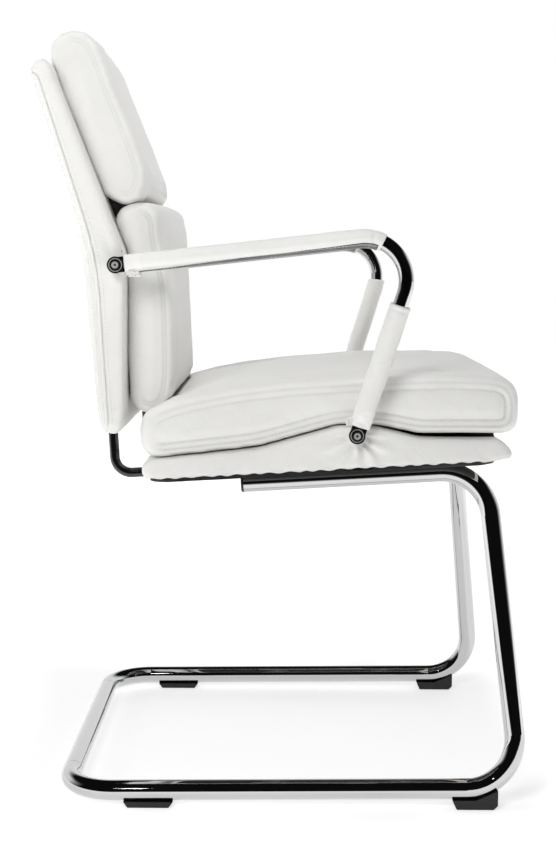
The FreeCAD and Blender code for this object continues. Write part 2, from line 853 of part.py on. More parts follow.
def felt_corners(x):
    """Felt outline: a steady gap above the base and below the cushion, seen from the side."""
    low = [(reach, height + soft_clearance) for reach, height in under_line(x, 0)]
    high = [(reach, height - soft_clearance) for reach, height in under_line(x, 1)]
    front_low = (-seat_base_front_reach, seat_base_front_height + soft_clearance)
    front_high = (-cushion_front_reach, seat_base_front_height + cushion_front_gap - soft_clearance)
    rear_low = (seat_base_rear_reach, seat_base_edge_height + soft_clearance)
    rear_high = (cushion_rear_reach, seat_base_edge_height + cushion_gap - soft_clearance)
    return [
        (-felt_front_reach, on_line(front_low, low[3], -felt_front_reach)),
        low[3], low[2], low[1], low[0],
        (felt_rear_reach, on_line(low[0], rear_low, felt_rear_reach)),
        (felt_rear_reach, on_line(high[0], rear_high, felt_rear_reach)),
        high[0], high[1], high[2], high[3],
        (-felt_front_reach, on_line(front_high, high[3], -felt_front_reach)),
    ]


def seat_felt():
    """Black felt between seat base and cushion, thicker towards the front."""
    line = [hump_front_foot_round, hump_top_round, hump_top_round, hump_foot_round]
    radii = [felt_edge_round, *line, felt_edge_round, felt_edge_round, *reversed(line), felt_edge_round]
    sections = []
    for x in both_ways(cushion_places[:-1]):
        sections.append(rounded_outline([Vector(x, a, b) for a, b in felt_corners(x)], radii))
    return to_seat(solid_of(Part.makeLoft(sections, True, True)))


# Back profile
def lean(angle):
    """Unit step up a line that leans back by the given angle, as (reach, height)."""
    return math.sin(math.radians(angle)), math.cos(math.radians(angle))


def knee_point(offset):
    """Where the two offset straight lines of the back meet."""
    mid_y, mid_z = lean((back_lower_angle + back_upper_angle) / 2)
    spread = offset / math.cos(math.radians(back_upper_angle - back_lower_angle) / 2)
    return back_knee_reach + mid_z * spread, back_knee_height - mid_y * spread


def straight_point(offset, run):
    """A point beside one of the two straight lines of the back."""
    step_y, step_z = lean(back_upper_angle if run > 0 else back_lower_angle)
    return (back_knee_reach + step_y * run + step_z * offset,
            back_knee_height + step_z * run - step_y * offset)


def back_band(front_offset, rear_offset, low_run, high_run, x0, x1):
    """A bent plate that follows the back between two offsets from its middle line."""
    corners = [straight_point(front_offset, -low_run), straight_point(rear_offset, -low_run),
               knee_point(rear_offset), straight_point(rear_offset, high_run),
               straight_point(front_offset, high_run), knee_point(front_offset)]
    points = [Vector(x0, y, z) for y, z in corners]

    def knee_arc(before, corner, after, radius):
        back = (before - corner).normalize()
        ahead = (after - corner).normalize()
        half = back.getAngle(ahead) / 2
        way = (back + ahead).normalize()
        start = corner + back * (radius / math.tan(half))
        end = corner + ahead * (radius / math.tan(half))
        return start, corner + way * (radius / math.sin(half) - radius), end

    rear = knee_arc(points[1], points[2], points[3], back_bend_radius - rear_offset)
    front = knee_arc(points[4], points[5], points[0], back_bend_radius - front_offset)
    edges = [
        Part.LineSegment(points[0], points[1]).toShape(),
        Part.LineSegment(points[1], rear[0]).toShape(),
        Part.Arc(*rear).toShape(),
        Part.LineSegment(rear[2], points[3]).toShape(),
        Part.LineSegment(points[3], points[4]).toShape(),
        Part.LineSegment(points[4], front[0]).toShape(),
        Part.Arc(*front).toShape(),
        Part.LineSegment(front[2], points[0]).toShape(),
    ]
    return Part.Face(Part.Wire(edges)).extrude(Vector(x1 - x0, 0, 0))


seam_bottom = straight_point(0, -back_lower_run)
seam_top = straight_point(0, back_upper_run)
front_knee = (back_knee_reach - back_front_knee_depth, back_knee_height + back_front_knee_rise)
front_bottom = (seam_bottom[0] - back_front_bottom_depth, seam_bottom[1])
front_step = lean(back_front_angle)
front_top = (front_knee[0] + front_step[0] * back_front_upper_run,
             front_knee[1] + front_step[1] * back_front_upper_run)


front_lower_length = math.hypot(front_knee[0] - front_bottom[0], front_knee[1] - front_bottom[1])
front_lower_step = ((front_knee[0] - front_bottom[0]) / front_lower_length,
                    (front_knee[1] - front_bottom[1]) / front_lower_length)


def front_line(run, depth):
    """A point before the padded front: run up the front line from its knee, depth forward."""
    step = front_step if run > 0 else front_lower_step
    return front_knee[0] + step[0] * run - step[1] * depth, front_knee[1] + step[1] * run + step[0] * depth


def front_knee_at(depth):
    """The knee of a line that runs at a steady depth before the padded front."""
    low = (front_knee[0] - front_lower_step[1] * depth, front_knee[1] + front_lower_step[0] * depth)
    high = (front_knee[0] - front_step[1] * depth, front_knee[1] + front_step[0] * depth)
    return crossing(low, front_lower_step, high, front_step)


def back_form_corners(x):
    return [
        front_bottom,
        (seam_bottom[0] + back_rear_bottom_depth, seam_bottom[1] + back_rear_bottom_rise),
        (back_knee_reach + back_rear_knee_depth, back_knee_height + back_rear_knee_rise),
        (seam_top[0] + back_rear_top_depth, seam_top[1] + back_rear_top_rise),
        front_top,
        front_knee,
    ]


def back_form():
    radii = [back_front_bottom_round, back_rear_round, back_rear_knee_round,
             back_rear_round, back_front_top_round, back_front_knee_round]
    side = back_side_round
    plan = back_plan_round
    insets = [plan, side, side, plan, back_front_inset, back_front_inset]
    return soft_form(back_form_corners, radii, [back_half_width - side], back_half_width, side, insets)


board_low_run = back_lower_run - back_board_lower_edge
board_high_run = back_upper_run - back_board_upper_edge
board_half_width = back_half_width - back_board_edge
board_rear = -back_board_space
board_front = board_rear - back_board_thickness


def clipped_corners(plate, half_width, low, high, corner):
    """Round the four corners of a bent plate, as seen from the front."""
    y0 = plate.BoundBox.YMin - overrun
    depth = plate.BoundBox.YLength + overrun + overrun
    points = [Vector(-half_width, y0, low), Vector(half_width, y0, low),
              Vector(half_width, y0, high), Vector(-half_width, y0, high)]
    window = Part.Face(rounded_outline(points, [corner] * len(points))).extrude(Vector(0, depth, 0))
    return plate.common(window)


def back_board_blank(rear):
    """The bent plywood board, up to the given rear offset."""
    band = back_band(board_front, rear, board_low_run, board_high_run, -board_half_width, board_half_width)
    return clipped_corners(band, board_half_width, band.BoundBox.ZMin, band.BoundBox.ZMax, back_board_corner)


def back_board():
    board = back_board_blank(board_rear)
    for start, end in back_screw_axes():
        board = board.cut(rod_between(start, end, link_screw_diameter / 2 + thread_play))
    return solid_of(board)


def behind_seam():
    """Everything behind the back's middle line."""
    depth = back_rear_knee_depth + back_rear_top_depth
    run_low = back_lower_run + depth
    run_high = back_upper_run + depth
    return back_band(0, depth + overrun, run_low, run_high,
                     -back_half_width - overrun, back_half_width + overrun)


def back_shell(form):
    """Padded leather front of the back: a tray that holds the board."""
    shell = form.cut(behind_seam())
    tray = back_board_blank(overrun)
    cutters = [tray]
    for sign in (1, -1):
        cutters.append(rod_cutter(sign))
        cutters.append(back_bracket_room(sign))
    for cutter in cutters:
        shell = shell.cut(cutter)
    return solid_of(shell)


def back_rear_panel(form):
    """Leather rear panel, hollow behind so that rods and screw heads have room."""
    panel = form.common(behind_seam())
    room = back_band(-overrun, rear_panel_hollow, board_low_run, board_high_run,
                     -board_half_width, board_half_width)
    panel = panel.cut(room)
    for sign in (1, -1):
        panel = panel.cut(rod_cutter(sign))
        panel = panel.cut(back_bracket_room(sign))
    return solid_of(panel)


# Rods between seat and back
def rod_runs(sign):
    """Level run under the seat, bend, and upright run into the back."""
    x = sign * rod_half_spacing
    level_start = seat_point(x, rod_seat_reach, rod_centre_height)
    level_far = seat_point(x, seat_base_rear_reach, rod_centre_height)
    back_low = straight_point(0, -back_lower_run)
    back_high = straight_point(0, -back_lower_run + rod_back_rise)
    level_way = (level_far.y - level_start.y, level_far.z - level_start.z)
    corner = crossing((level_start.y, level_start.z), level_way, back_low, lean(back_lower_angle))
    corner = Vector(x, corner[0], corner[1])
    return bent_runs([level_start, corner, Vector(x, back_high[0], back_high[1])], [rod_bend_radius])


def rod_cutter(sign):
    return bent_tube(rod_runs(sign), rod_diameter / 2 + rod_clearance)


rod_top_run = -back_lower_run + rod_back_rise
back_plate_high = rod_top_run + rod_plate_edge


def back_plate(x):
    """Plate welded to the rod's front, flat against the back board."""
    half = rod_plate_width / 2
    low = straight_point(board_rear, back_plate_high - rod_back_plate_length)
    high = straight_point(board_rear, back_plate_high)
    low_rear = straight_point(board_rear + rod_plate_thickness, back_plate_high - rod_back_plate_length)
    high_rear = straight_point(board_rear + rod_plate_thickness, back_plate_high)
    points = [Vector(x - half, y, z) for y, z in (low, high, high_rear, low_rear)]
    return Part.Face(Part.makePolygon(points + points[:1])).extrude(Vector(rod_plate_width, 0, 0))


def link_rod(sign):
    """Bent rod with its two welded fixing plates, one on each board."""
    x = sign * rod_half_spacing
    rod = bent_tube(rod_runs(sign), rod_diameter / 2)
    seat_plate = to_seat(block(x - rod_plate_width / 2, x + rod_plate_width / 2, rod_seat_reach,
                               rod_seat_reach + rod_seat_plate_length, seat_board_top,
                               seat_board_top + rod_plate_thickness))
    link = rod.fuse([seat_plate, back_plate(x)]).removeSplitter()
    for start, end in seat_link_axes(sign) + back_link_axes(sign):
        link = link.cut(rod_between(start, end, link_screw_diameter / 2 + thread_play))
    return solid_of(link)


def seat_link_axes(sign):
    """Screw axes of the seat plates, from under the head down into the board."""
    axes = []
    for side, place in ((1, rod_seat_reach + link_screw_edge),
                        (-1, rod_seat_reach + rod_seat_plate_length - link_screw_edge)):
        x = sign * (rod_half_spacing + side * link_screw_offset)
        top = seat_point(x, place, seat_board_top + rod_plate_thickness)
        axes.append((top, seat_point(x, place, seat_board_top + rod_plate_thickness - link_screw_length)))
    return axes


def back_link_axes(sign):
    """Screw axes of the back plates, from under the head forward into the board."""
    axes = []
    for side, run in ((1, back_plate_high - link_screw_edge),
                      (-1, back_plate_high - rod_back_plate_length + link_screw_edge)):
        x = sign * (rod_half_spacing + side * link_screw_offset)
        start = straight_point(board_rear + rod_plate_thickness, run)
        end = straight_point(board_rear + rod_plate_thickness - link_screw_length, run)
        axes.append((Vector(x, start[0], start[1]), Vector(x, end[0], end[1])))
    return axes


def seat_bracket_axes(sign):
    axes = []
    for side in (1, -1):
        x = sign * (bracket_inner - bracket_foot_length + bracket_screw_inset)
        place = hump_centre + side * bracket_screw_half_spacing
        top = seat_point(x, place, seat_board_top + bracket_thickness)
        axes.append((top, seat_point(x, place, seat_board_top + bracket_thickness - link_screw_length)))
    return axes


def back_bracket_axes(sign):
    axes = []
    for side in (1, -1):
        x = sign * (bracket_inner - bracket_foot_length + bracket_screw_inset)
        run = bracket_run + side * bracket_screw_half_spacing
        start = band_point(board_rear + bracket_thickness, run)
        end = band_point(board_rear + bracket_thickness - link_screw_length, run)
        axes.append((Vector(x, start[0], start[1]), Vector(x, end[0], end[1])))
    return axes


def band_point(offset, run):
    """A point off the curved middle line of the back, with run as arc length from the knee."""
    half_turn = math.radians(back_upper_angle - back_lower_angle) / 2
    tangent = back_bend_radius * math.tan(half_turn)
    if abs(run) >= tangent:
        return straight_point(offset, run)
    middle = (back_upper_angle + back_lower_angle) / 2
    spread = back_bend_radius / math.cos(half_turn)
    mid_y, mid_z = lean(middle)
    centre_y = back_knee_reach + mid_z * spread
    centre_z = back_knee_height - mid_y * spread
    angle = math.radians(middle) + half_turn * run / tangent
    radius = back_bend_radius - offset
    return centre_y - math.cos(angle) * radius, centre_z + math.sin(angle) * radius


def seat_screw_axes():
    axes = []
    for sign in (1, -1):
        axes += seat_link_axes(sign) + seat_bracket_axes(sign)
    return [(seat_plane.inverse().multVec(a), seat_plane.inverse().multVec(b)) for a, b in axes]


def back_screw_axes():
    axes = []
    for sign in (1, -1):
        axes += back_link_axes(sign) + back_bracket_axes(sign)
    return axes


def wood_screws(axes):
    """Pan head screws, one solid for each axis from its head seat to its tip."""
    screws = []
    for seat, tip in axes:
        away = (seat - tip).normalize()
        head = rod_between(seat, seat + away * link_screw_head_height, link_screw_head_diameter / 2)
        shank = rod_between(tip, seat, link_screw_diameter / 2)
        screws.append(head.fuse(shank).removeSplitter())
    return screws


def link_screws():
    axes = []
    for sign in (1, -1):
        axes += seat_link_axes(sign) + back_link_axes(sign)
    return Part.makeCompound(wood_screws(axes))


def bracket_screws():
    axes = []
    for sign in (1, -1):
        axes += seat_bracket_axes(sign) + back_bracket_axes(sign)
    return Part.makeCompound(wood_screws(axes))


# Brackets inside the padding
def nut_boss(y, z):
    return rod_between(Vector(bracket_inner - bracket_nut_height, y, z), Vector(bracket_outer, y, z),
                       bracket_nut_diameter / 2)


def seat_bracket(sign):
    """Angle bracket on the seat board, with a weld nut for the arm bolt."""
    half = bracket_width / 2
    top = arm_seat_bolt_rise + bracket_top_margin
    upright = block(bracket_inner, bracket_outer, hump_centre - half, hump_centre + half, seat_board_low, top)
    edges = [e for e in upright.Edges if e.BoundBox.ZMin > top - overrun and e.BoundBox.XLength > overrun
             and e.BoundBox.YLength < overrun]
    upright = upright.makeFillet(bracket_corner, edges)
    foot = block(bracket_inner - bracket_foot_length, bracket_inner + bracket_thickness / 2,
                 hump_centre - half, hump_centre + half, seat_board_top, seat_board_top + bracket_thickness)
    bracket = upright.fuse([foot, nut_boss(hump_centre, arm_seat_bolt_rise)]).removeSplitter()
    start = Vector(bracket_inner - bracket_nut_height, hump_centre, arm_seat_bolt_rise)
    bracket = drilled(bracket, start, Vector(bracket_outer, hump_centre, arm_seat_bolt_rise),
                      arm_bolt_diameter / 2 + thread_play)
    bracket = bracket if sign > 0 else mirrored(bracket)
    bracket = to_seat(bracket)
    for start, end in seat_bracket_axes(sign):
        bracket = bracket.cut(rod_between(start, end, link_screw_diameter / 2 + thread_play))
    return solid_of(bracket)


bracket_run = arm_rear_bolt_height - back_knee_height


def back_bracket_blank(grow):
    """Upright beside the board's edge and foot behind the board, before drilling."""
    half = bracket_width / 2
    low = arm_rear_bolt_height - half
    high = arm_rear_bolt_height + half
    rear = board_rear + bracket_thickness
    front = arm_rear_bolt_reach - bracket_front_margin
    band = back_band(board_rear - grow, rear + grow, board_low_run, board_high_run,
                     bracket_inner - bracket_foot_length - grow, bracket_outer + grow)
    window = block(0, bracket_outer + overrun, front, band.BoundBox.YMax, low - grow, high + grow)
    foot = band.common(window)
    tab = block(bracket_inner - grow, bracket_outer + grow, front - grow,
                back_knee_reach, low - grow, high + grow)
    tab = tab.cut(back_band(rear + grow, rear + grow + back_rear_knee_depth, board_low_run, board_high_run,
                            bracket_inner - overrun, bracket_outer + overrun))
    return foot.fuse(tab).removeSplitter()


def back_bracket(sign):
    """Bent bracket behind the back board, with a weld nut for the arm bolt."""
    bracket = back_bracket_blank(0)
    bracket = bracket.fuse(nut_boss(arm_rear_bolt_reach, arm_rear_bolt_height)).removeSplitter()
    start = Vector(bracket_inner - bracket_nut_height, arm_rear_bolt_reach, arm_rear_bolt_height)
    bracket = drilled(bracket, start, Vector(bracket_outer, arm_rear_bolt_reach, arm_rear_bolt_height),
                      arm_bolt_diameter / 2 + thread_play)
    bracket = bracket if sign > 0 else mirrored(bracket)
    for start, end in back_bracket_axes(sign):
        bracket = bracket.cut(rod_between(start, end, link_screw_diameter / 2 + thread_play))
    return solid_of(bracket)


def back_bracket_room(sign):
    """Room in the back's padding for a bracket, its nut and the spacer."""
    play = bracket_skin_clearance
    y, z = arm_rear_bolt_reach, arm_rear_bolt_height
    nut = rod_between(Vector(bracket_inner - bracket_nut_height - arm_bolt_grip, y, z),
                      Vector(bracket_inner, y, z), bracket_nut_diameter / 2 + play)
    spacer = rod_between(Vector(bracket_outer, y, z), Vector(back_half_width + overrun, y, z),
                         arm_spacer_diameter / 2 + spacer_clearance)
    room = back_bracket_blank(play).fuse([nut, spacer])
    return room if sign > 0 else mirrored(room)


# Lining and back cushions
def back_lining():
    """Thin black pad behind both back cushions, with a ridge that fills the gap between them."""
    near = soft_clearance
    far = soft_clearance + lining_thickness
    ridge = front_line(lining_ridge_rise, lining_ridge_depth)
    corners = [
        front_line(-lining_lower_reach, near),
        front_knee_at(near),
        front_line(lining_upper_reach, near),
        front_line(lining_upper_reach, far),
        front_line(lining_ridge_upper, far),
        ridge,
        front_line(lining_ridge_lower, far),
        front_knee_at(far),
        front_line(-lining_lower_reach, far),
    ]
    points = [Vector(-lining_half_width, y, z) for y, z in corners]
    return Part.Face(Part.makePolygon(points + points[:1])).extrude(Vector(2 * lining_half_width, 0, 0))


cushion_back_gap = 2 * soft_clearance + lining_thickness


def lumbar_corners(x):
    gap = cushion_back_gap
    crown = crown_share(x, lumbar_half_width - lumbar_side_round)
    low = lumbar_lower_reach - lumbar_bottom_rise * crown
    front = front_knee[0] - lumbar_upper_depth - lumbar_crown * crown
    top = front_knee[1] + lumbar_top_rise + lumbar_top_swell * crown
    return [
        front_line(-low, lumbar_lower_depth + lumbar_crown * crown),
        front_line(-low, gap),
        front_knee_at(gap),
        front_line(lumbar_rear_rise + lumbar_top_swell * crown, gap),
        (front + lumbar_shoulder_depth, top),
        (front, top - lumbar_shoulder_drop),
    ]


def lumbar_cushion():
    shoulder = lumbar_shoulder_round
    radii = [lumbar_front_round, lumbar_rear_round, back_front_knee_round, shoulder, shoulder, shoulder]
    side = lumbar_side_round
    plan = lumbar_plan_round
    insets = [plan, cushion_rear_inset, cushion_rear_inset, plan, plan, lumbar_front_inset]
    places = crown_places(lumbar_half_width - side)
    return soft_form(lumbar_corners, radii, places, lumbar_half_width, side, insets)


def head_corners(x):
    gap = cushion_back_gap
    crown = crown_share(x, head_half_width - head_side_round)
    front = head_thickness + head_crown * crown
    low = head_lower_reach - head_end_swell * crown
    high = head_upper_reach + head_top_swell * crown
    return [front_line(low, front), front_line(low, gap), front_line(high, gap), front_line(high, front)]


def head_cushion():
    radii = [head_lower_round, head_lower_round, head_upper_rear_round, head_upper_front_round]
    side = head_side_round
    plan = head_plan_round
    insets = [plan, cushion_rear_inset, plan, head_front_inset]
    return soft_form(head_corners, radii, crown_places(head_half_width - side), head_half_width, side, insets)


# Arms
rear_bolt = Vector(tongue_centre, arm_rear_bolt_reach, arm_rear_bolt_height)
seat_bolt_point = seat_point(tongue_centre, hump_centre, arm_seat_bolt_rise)
arm_corner = Vector(arm_corner_half_spacing, -arm_corner_reach, arm_corner_height)


def flare_point(bolt, distance):
    """A point on the straight line from an arm bolt towards the arm's corner."""
    return bolt + (arm_corner - bolt).normalize() * distance


def tongue_way(bolt):
    """Direction of a flattened end, kept flat against the side of the chair."""
    way = arm_corner - bolt
    return Vector(0, way.y, way.z).normalize()


def arm_runs():
    """Top run, bend and lower leg of the left arm, between its flattened ends."""
    ends = [flare_point(bolt, arm_flare_run) for bolt in (rear_bolt, seat_bolt_point)]
    return bent_runs([ends[0], arm_corner, ends[1]], [arm_bend_radius])


def arm_core(grow):
    """Bent arm tube with both ends flattened for a bolt, optionally grown for a sleeve."""
    core = bent_tube(arm_runs(), arm_radius + grow)
    for bolt in (rear_bolt, seat_bolt_point):
        end = flare_point(bolt, arm_flare_run)
        core = core.fuse(flattened_end(bolt, end, arm_radius + grow, arm_flare_thickness / 2 + grow,
                                       arm_tongue_width / 2 + grow, arm_tongue_thickness / 2 + grow))
    return core


def oval_ring(centre, way, half_thickness, half_width):
    """An oval section across the given direction, thin across the chair."""
    across = Vector(1, 0, 0)
    up = way.cross(across).normalize()
    oval = Part.Ellipse(centre + up * half_width, centre + across * half_thickness, centre)
    return Part.Wire(oval.toShape())


def round_ring(centre, way, radius):
    """A circle across the given direction that starts at the same side as an oval ring."""
    ring = Part.Circle(centre, way, radius)
    ring.XAxis = way.cross(Vector(1, 0, 0)).normalize()
    return Part.Wire(ring.toShape())


def flattened_end(bolt, end, radius, half_thickness, half_width, half_tongue):
    """Loft from the round tube to an oval, and the flat tongue around the bolt."""
    way = tongue_way(bolt)
    ring = round_ring(end, (arm_corner - bolt).normalize(), radius)
    oval = oval_ring(bolt + way * arm_tongue_run, way, half_thickness, half_width)
    flare = Part.makeLoft([ring, oval], True, True)
    start = bolt - Vector(half_tongue, 0, 0)
    disc = Part.makeCylinder(half_width, 2 * half_tongue, start, Vector(1, 0, 0))
    turn = way.cross(Vector(1, 0, 0)).normalize() * half_width
    far = bolt + way * (arm_tongue_run + overrun)
    inner = Vector(half_tongue, 0, 0)
    corners = [start + turn, far - inner + turn, far - inner - turn, start - turn]
    strap = Part.Face(Part.makePolygon(corners + corners[:1])).extrude(Vector(2 * half_tongue, 0, 0))
    return flare.fuse([disc, strap])


def arm_tube(sign):
    core = arm_core(0).cut(bent_tube(arm_runs(), arm_radius - arm_tube_wall))
    for bolt in (rear_bolt, seat_bolt_point):
        half = Vector(arm_tongue_thickness, 0, 0)
        core = drilled(core, bolt - half, bolt + half, arm_bolt_diameter / 2 + bolt_play)
    core = solid_of(core.removeSplitter())
    return core if sign > 0 else mirrored(core)


def sleeve_end(bolt, start, radius, gap, depth):
    """The end of a leather sleeve, pressed flat towards the bolt."""
    way = tongue_way(bolt)
    ring = round_ring(start, (arm_corner - bolt).normalize(), radius)
    return Part.makeLoft([ring, oval_ring(bolt + way * gap, way, depth / 2, radius)], True, True)


def upper_sleeve():
    """Leather sleeve along the top of the left arm and a little way round its bend."""
    radius = arm_radius + sleeve_clearance + upper_sleeve_wall
    rear = flare_point(rear_bolt, arm_flare_run)
    top_run, bend, lower_leg = arm_runs()
    sleeve = bent_tube([top_run, bend[:4] + (upper_sleeve_turn_angle,)], radius)
    sleeve = sleeve.fuse(sleeve_end(rear_bolt, rear, radius, upper_sleeve_gap, upper_sleeve_end_depth))
    return solid_of(sleeve.cut(arm_core(sleeve_clearance)))


def lower_sleeve(gap):
    """Padded leather sleeve on the left arm's lower leg, the given distance below the bend."""
    radius = arm_radius + sleeve_clearance + lower_sleeve_wall
    start, way, length = arm_runs()[2]
    top = start + way * gap
    low = flare_point(seat_bolt_point, arm_flare_run)
    sleeve = rod_between(low, top, radius)
    sleeve = sleeve.fuse(sleeve_end(seat_bolt_point, low, radius, lower_sleeve_gap, lower_sleeve_end_depth))
    return solid_of(sleeve.cut(arm_core(sleeve_clearance)))


def lower_sleeves():
    """The sitter's left sleeve reaches a little higher than the right one."""
    right = mirrored(lower_sleeve(lower_sleeve_start_right))
    return Part.makeCompound([lower_sleeve(lower_sleeve_start_left), right])


# Arm fixings
def arm_bolt_axes():
    """Bolt places on the left side: beside the back and beside the seat."""
    return [rear_bolt, seat_bolt_point]


washer_outer = tongue_outer + arm_washer_thickness


def arm_bolts():
    bolts = []
    for bolt in arm_bolt_axes():
        tip = Vector(bracket_inner - bracket_nut_height - arm_bolt_grip / 2, bolt.y, bolt.z)
        under = Vector(washer_outer, bolt.y, bolt.z)
        top = under + Vector(arm_bolt_head_height, 0, 0)
        head = rod_between(under, top, arm_bolt_head_diameter / 2)
        rim = [e for e in head.Edges if e.BoundBox.XMin > top.x - thread_play]
        head = head.makeChamfer(arm_bolt_head_bevel, rim)
        shape = head.fuse(rod_between(tip, under, arm_bolt_diameter / 2)).removeSplitter()
        reach = arm_bolt_socket_width / math.sqrt(3)
        mouth = hexagon(top + Vector(overrun, 0, 0), Vector(0, reach, 0), Vector(0, 0, reach))
        socket = mouth.extrude(Vector(-arm_bolt_socket_depth - overrun, 0, 0))
        bolts.append(solid_of(shape.cut(socket)))
    return on_both_sides(bolts)


def arm_washers():
    """Black washers with a turned groove in their outer face."""
    washers = []
    for bolt in arm_bolt_axes():
        low = Vector(tongue_outer, bolt.y, bolt.z)
        high = Vector(washer_outer, bolt.y, bolt.z)
        washer = rod_between(low, high, arm_washer_diameter / 2)
        washer = drilled(washer, low, high, arm_bolt_diameter / 2 + bolt_play)
        bottom = high - Vector(arm_washer_groove_depth, 0, 0)
        over = high + Vector(overrun, 0, 0)
        groove = rod_between(bottom, over, arm_washer_groove_radius + arm_washer_groove_width / 2)
        groove = drilled(groove, bottom, over, arm_washer_groove_radius - arm_washer_groove_width / 2)
        washers.append(solid_of(washer.cut(groove)))
    return on_both_sides(washers)


def arm_spacers():
    spacers = []
    for bolt in arm_bolt_axes():
        low = Vector(bracket_outer, bolt.y, bolt.z)
        high = Vector(tongue_inner, bolt.y, bolt.z)
        spacer = rod_between(low, high, arm_spacer_diameter / 2)
        spacers.append(drilled(spacer, low, high, arm_bolt_diameter / 2 + bolt_play))
    return on_both_sides(spacers)


def build():
    """Every sub-part by name, in the seat datum's own place."""
    form = back_form()
    parts = {
        "rear_cross_tube": rear_cross_tube(),
        "joint_spigots": joint_spigots(),
        "rail_end_caps": rail_end_caps(),
        "seat_bolts": seat_bolts(),
        "seat_bolt_washers": seat_bolt_washers(),
        "seat_t_nuts": seat_t_nuts(),
        "foot_screws": foot_screws(),
        "rear_feet": on_both_sides([rear_foot()]),
        "front_feet": on_both_sides([front_foot()]),
        "seat_board": seat_board(),
        "underside_cover": underside_cover(),
        "seat_shell": seat_shell(),
        "seat_felt": seat_felt(),
        "seat_cushion": seat_cushion(),
        "back_board": back_board(),
        "back_shell": back_shell(form),
        "back_rear_panel": back_rear_panel(form),
        "back_lining": back_lining(),
        "lumbar_cushion": lumbar_cushion(),
        "head_cushion": head_cushion(),
        "link_screws": link_screws(),
        "bracket_screws": bracket_screws(),
        "arm_upper_sleeves": on_both_sides([upper_sleeve()]),
        "arm_lower_sleeves": lower_sleeves(),
        "arm_bolts": arm_bolts(),
        "arm_washers": arm_washers(),
        "arm_spacers": arm_spacers(),
    }
    for name, place in bar_places:
        parts[name + "_cross_bar"] = cross_bar(place)
    frame = side_frame()
    for side, sign in side_names:
        parts["side_frame_" + side] = frame if sign > 0 else mirrored(frame)
        parts["link_rod_" + side] = link_rod(sign)
        parts["seat_arm_bracket_" + side] = seat_bracket(sign)
        parts["back_arm_bracket_" + side] = back_bracket(sign)
        parts["arm_tube_" + side] = arm_tube(sign)
    return parts


def main():
    """Stand the chair on the floor with its origin under the middle of its box, and save it."""
    parts = build()
    box = Part.makeCompound(list(parts.values())).optimalBoundingBox()
    shift = Vector(-box.Center.x, -box.Center.y, -box.ZMin)
    os.makedirs("parts", exist_ok=True)
    for name, shape in parts.items():
        placed = shape.copy()
        placed.translate(shift)
        placed.exportStep("parts/" + name + ".step")
        print(name, "solids", len(placed.Solids), "valid", placed.isValid(), "volume", round(placed.Volume))
    print("box", box, "shift", shift)


main()
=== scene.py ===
from math import atan2, copysign, cos, exp, hypot, pi, radians, sin, tan

import bmesh
import bpy
from mathutils import Matrix, Vector, noise
from mathutils.bvhtree import BVHTree
from mathutils.kdtree import KDTree


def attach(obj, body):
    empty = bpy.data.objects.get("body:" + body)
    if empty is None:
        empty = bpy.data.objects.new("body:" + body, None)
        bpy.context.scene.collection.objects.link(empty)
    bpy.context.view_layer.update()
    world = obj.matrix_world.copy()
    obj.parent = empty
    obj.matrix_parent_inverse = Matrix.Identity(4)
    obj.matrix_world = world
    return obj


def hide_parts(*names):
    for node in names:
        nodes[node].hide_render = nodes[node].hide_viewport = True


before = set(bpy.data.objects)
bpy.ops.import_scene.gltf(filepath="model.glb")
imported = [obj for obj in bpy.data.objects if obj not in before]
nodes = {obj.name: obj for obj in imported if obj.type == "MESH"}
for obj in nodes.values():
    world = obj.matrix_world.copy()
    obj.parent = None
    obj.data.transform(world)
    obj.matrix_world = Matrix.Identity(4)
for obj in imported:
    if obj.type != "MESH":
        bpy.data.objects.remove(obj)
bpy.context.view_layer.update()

bl_info = {
    "name": "Padded visitor chair",
    "version": (1, 0, 0),
    "blender": (4, 5, 0),
    "location": "3D View > Sidebar > Chair",
    "description": "Upholstery, finishes and studio for the tube frame visitor chair",
    "category": "Add Mesh",
}

# Where the seat and back lie, in metres in the row frame
datum_reach = -0.030712
seat_underside_height = 0.4072
seat_tilt = radians(3.4)
seat_half_width = 0.245
seat_rear_reach = 0.200
back_knee_reach = 0.2512
back_knee_height = 0.6621
back_lower_lean = radians(3.3)
back_upper_lean = radians(17.7)
back_bend_radius = 0.38
back_half_width = 0.243
back_lowest_run = -0.2005
back_highest_run = 0.2235
back_corner_round = 0.014

# Outlines of the boxed ends, seen from the chair's side, as (reach, height) in metres.
# The seat's own are given on the tilted seat plane.
head_outline = (
    (0.2800, 0.9290), (0.2665, 0.9262), (0.2535, 0.9125), (0.2460, 0.8911), (0.2311, 0.8514), (0.2090, 0.7998),
    (0.1974, 0.7654), (0.1968, 0.7549), (0.2036, 0.7324), (0.2144, 0.7271), (0.2251, 0.7259), (0.2464, 0.7364),
    (0.2615, 0.7692), (0.2800, 0.8147), (0.2995, 0.8587), (0.3078, 0.8925), (0.3090, 0.9120), (0.2985, 0.9248),
)
lumbar_outline = (
    (0.2040, 0.7290), (0.2262, 0.7229), (0.2347, 0.7082), (0.2265, 0.6846), (0.2207, 0.6728), (0.2198, 0.6288),
    (0.2217, 0.5485), (0.2163, 0.4975), (0.2040, 0.4758), (0.1932, 0.4727), (0.1760, 0.4808), (0.1674, 0.5006),
    (0.1651, 0.5355), (0.1661, 0.5968), (0.1695, 0.6385), (0.1800, 0.6824), (0.1822, 0.7107), (0.1893, 0.7231),
)
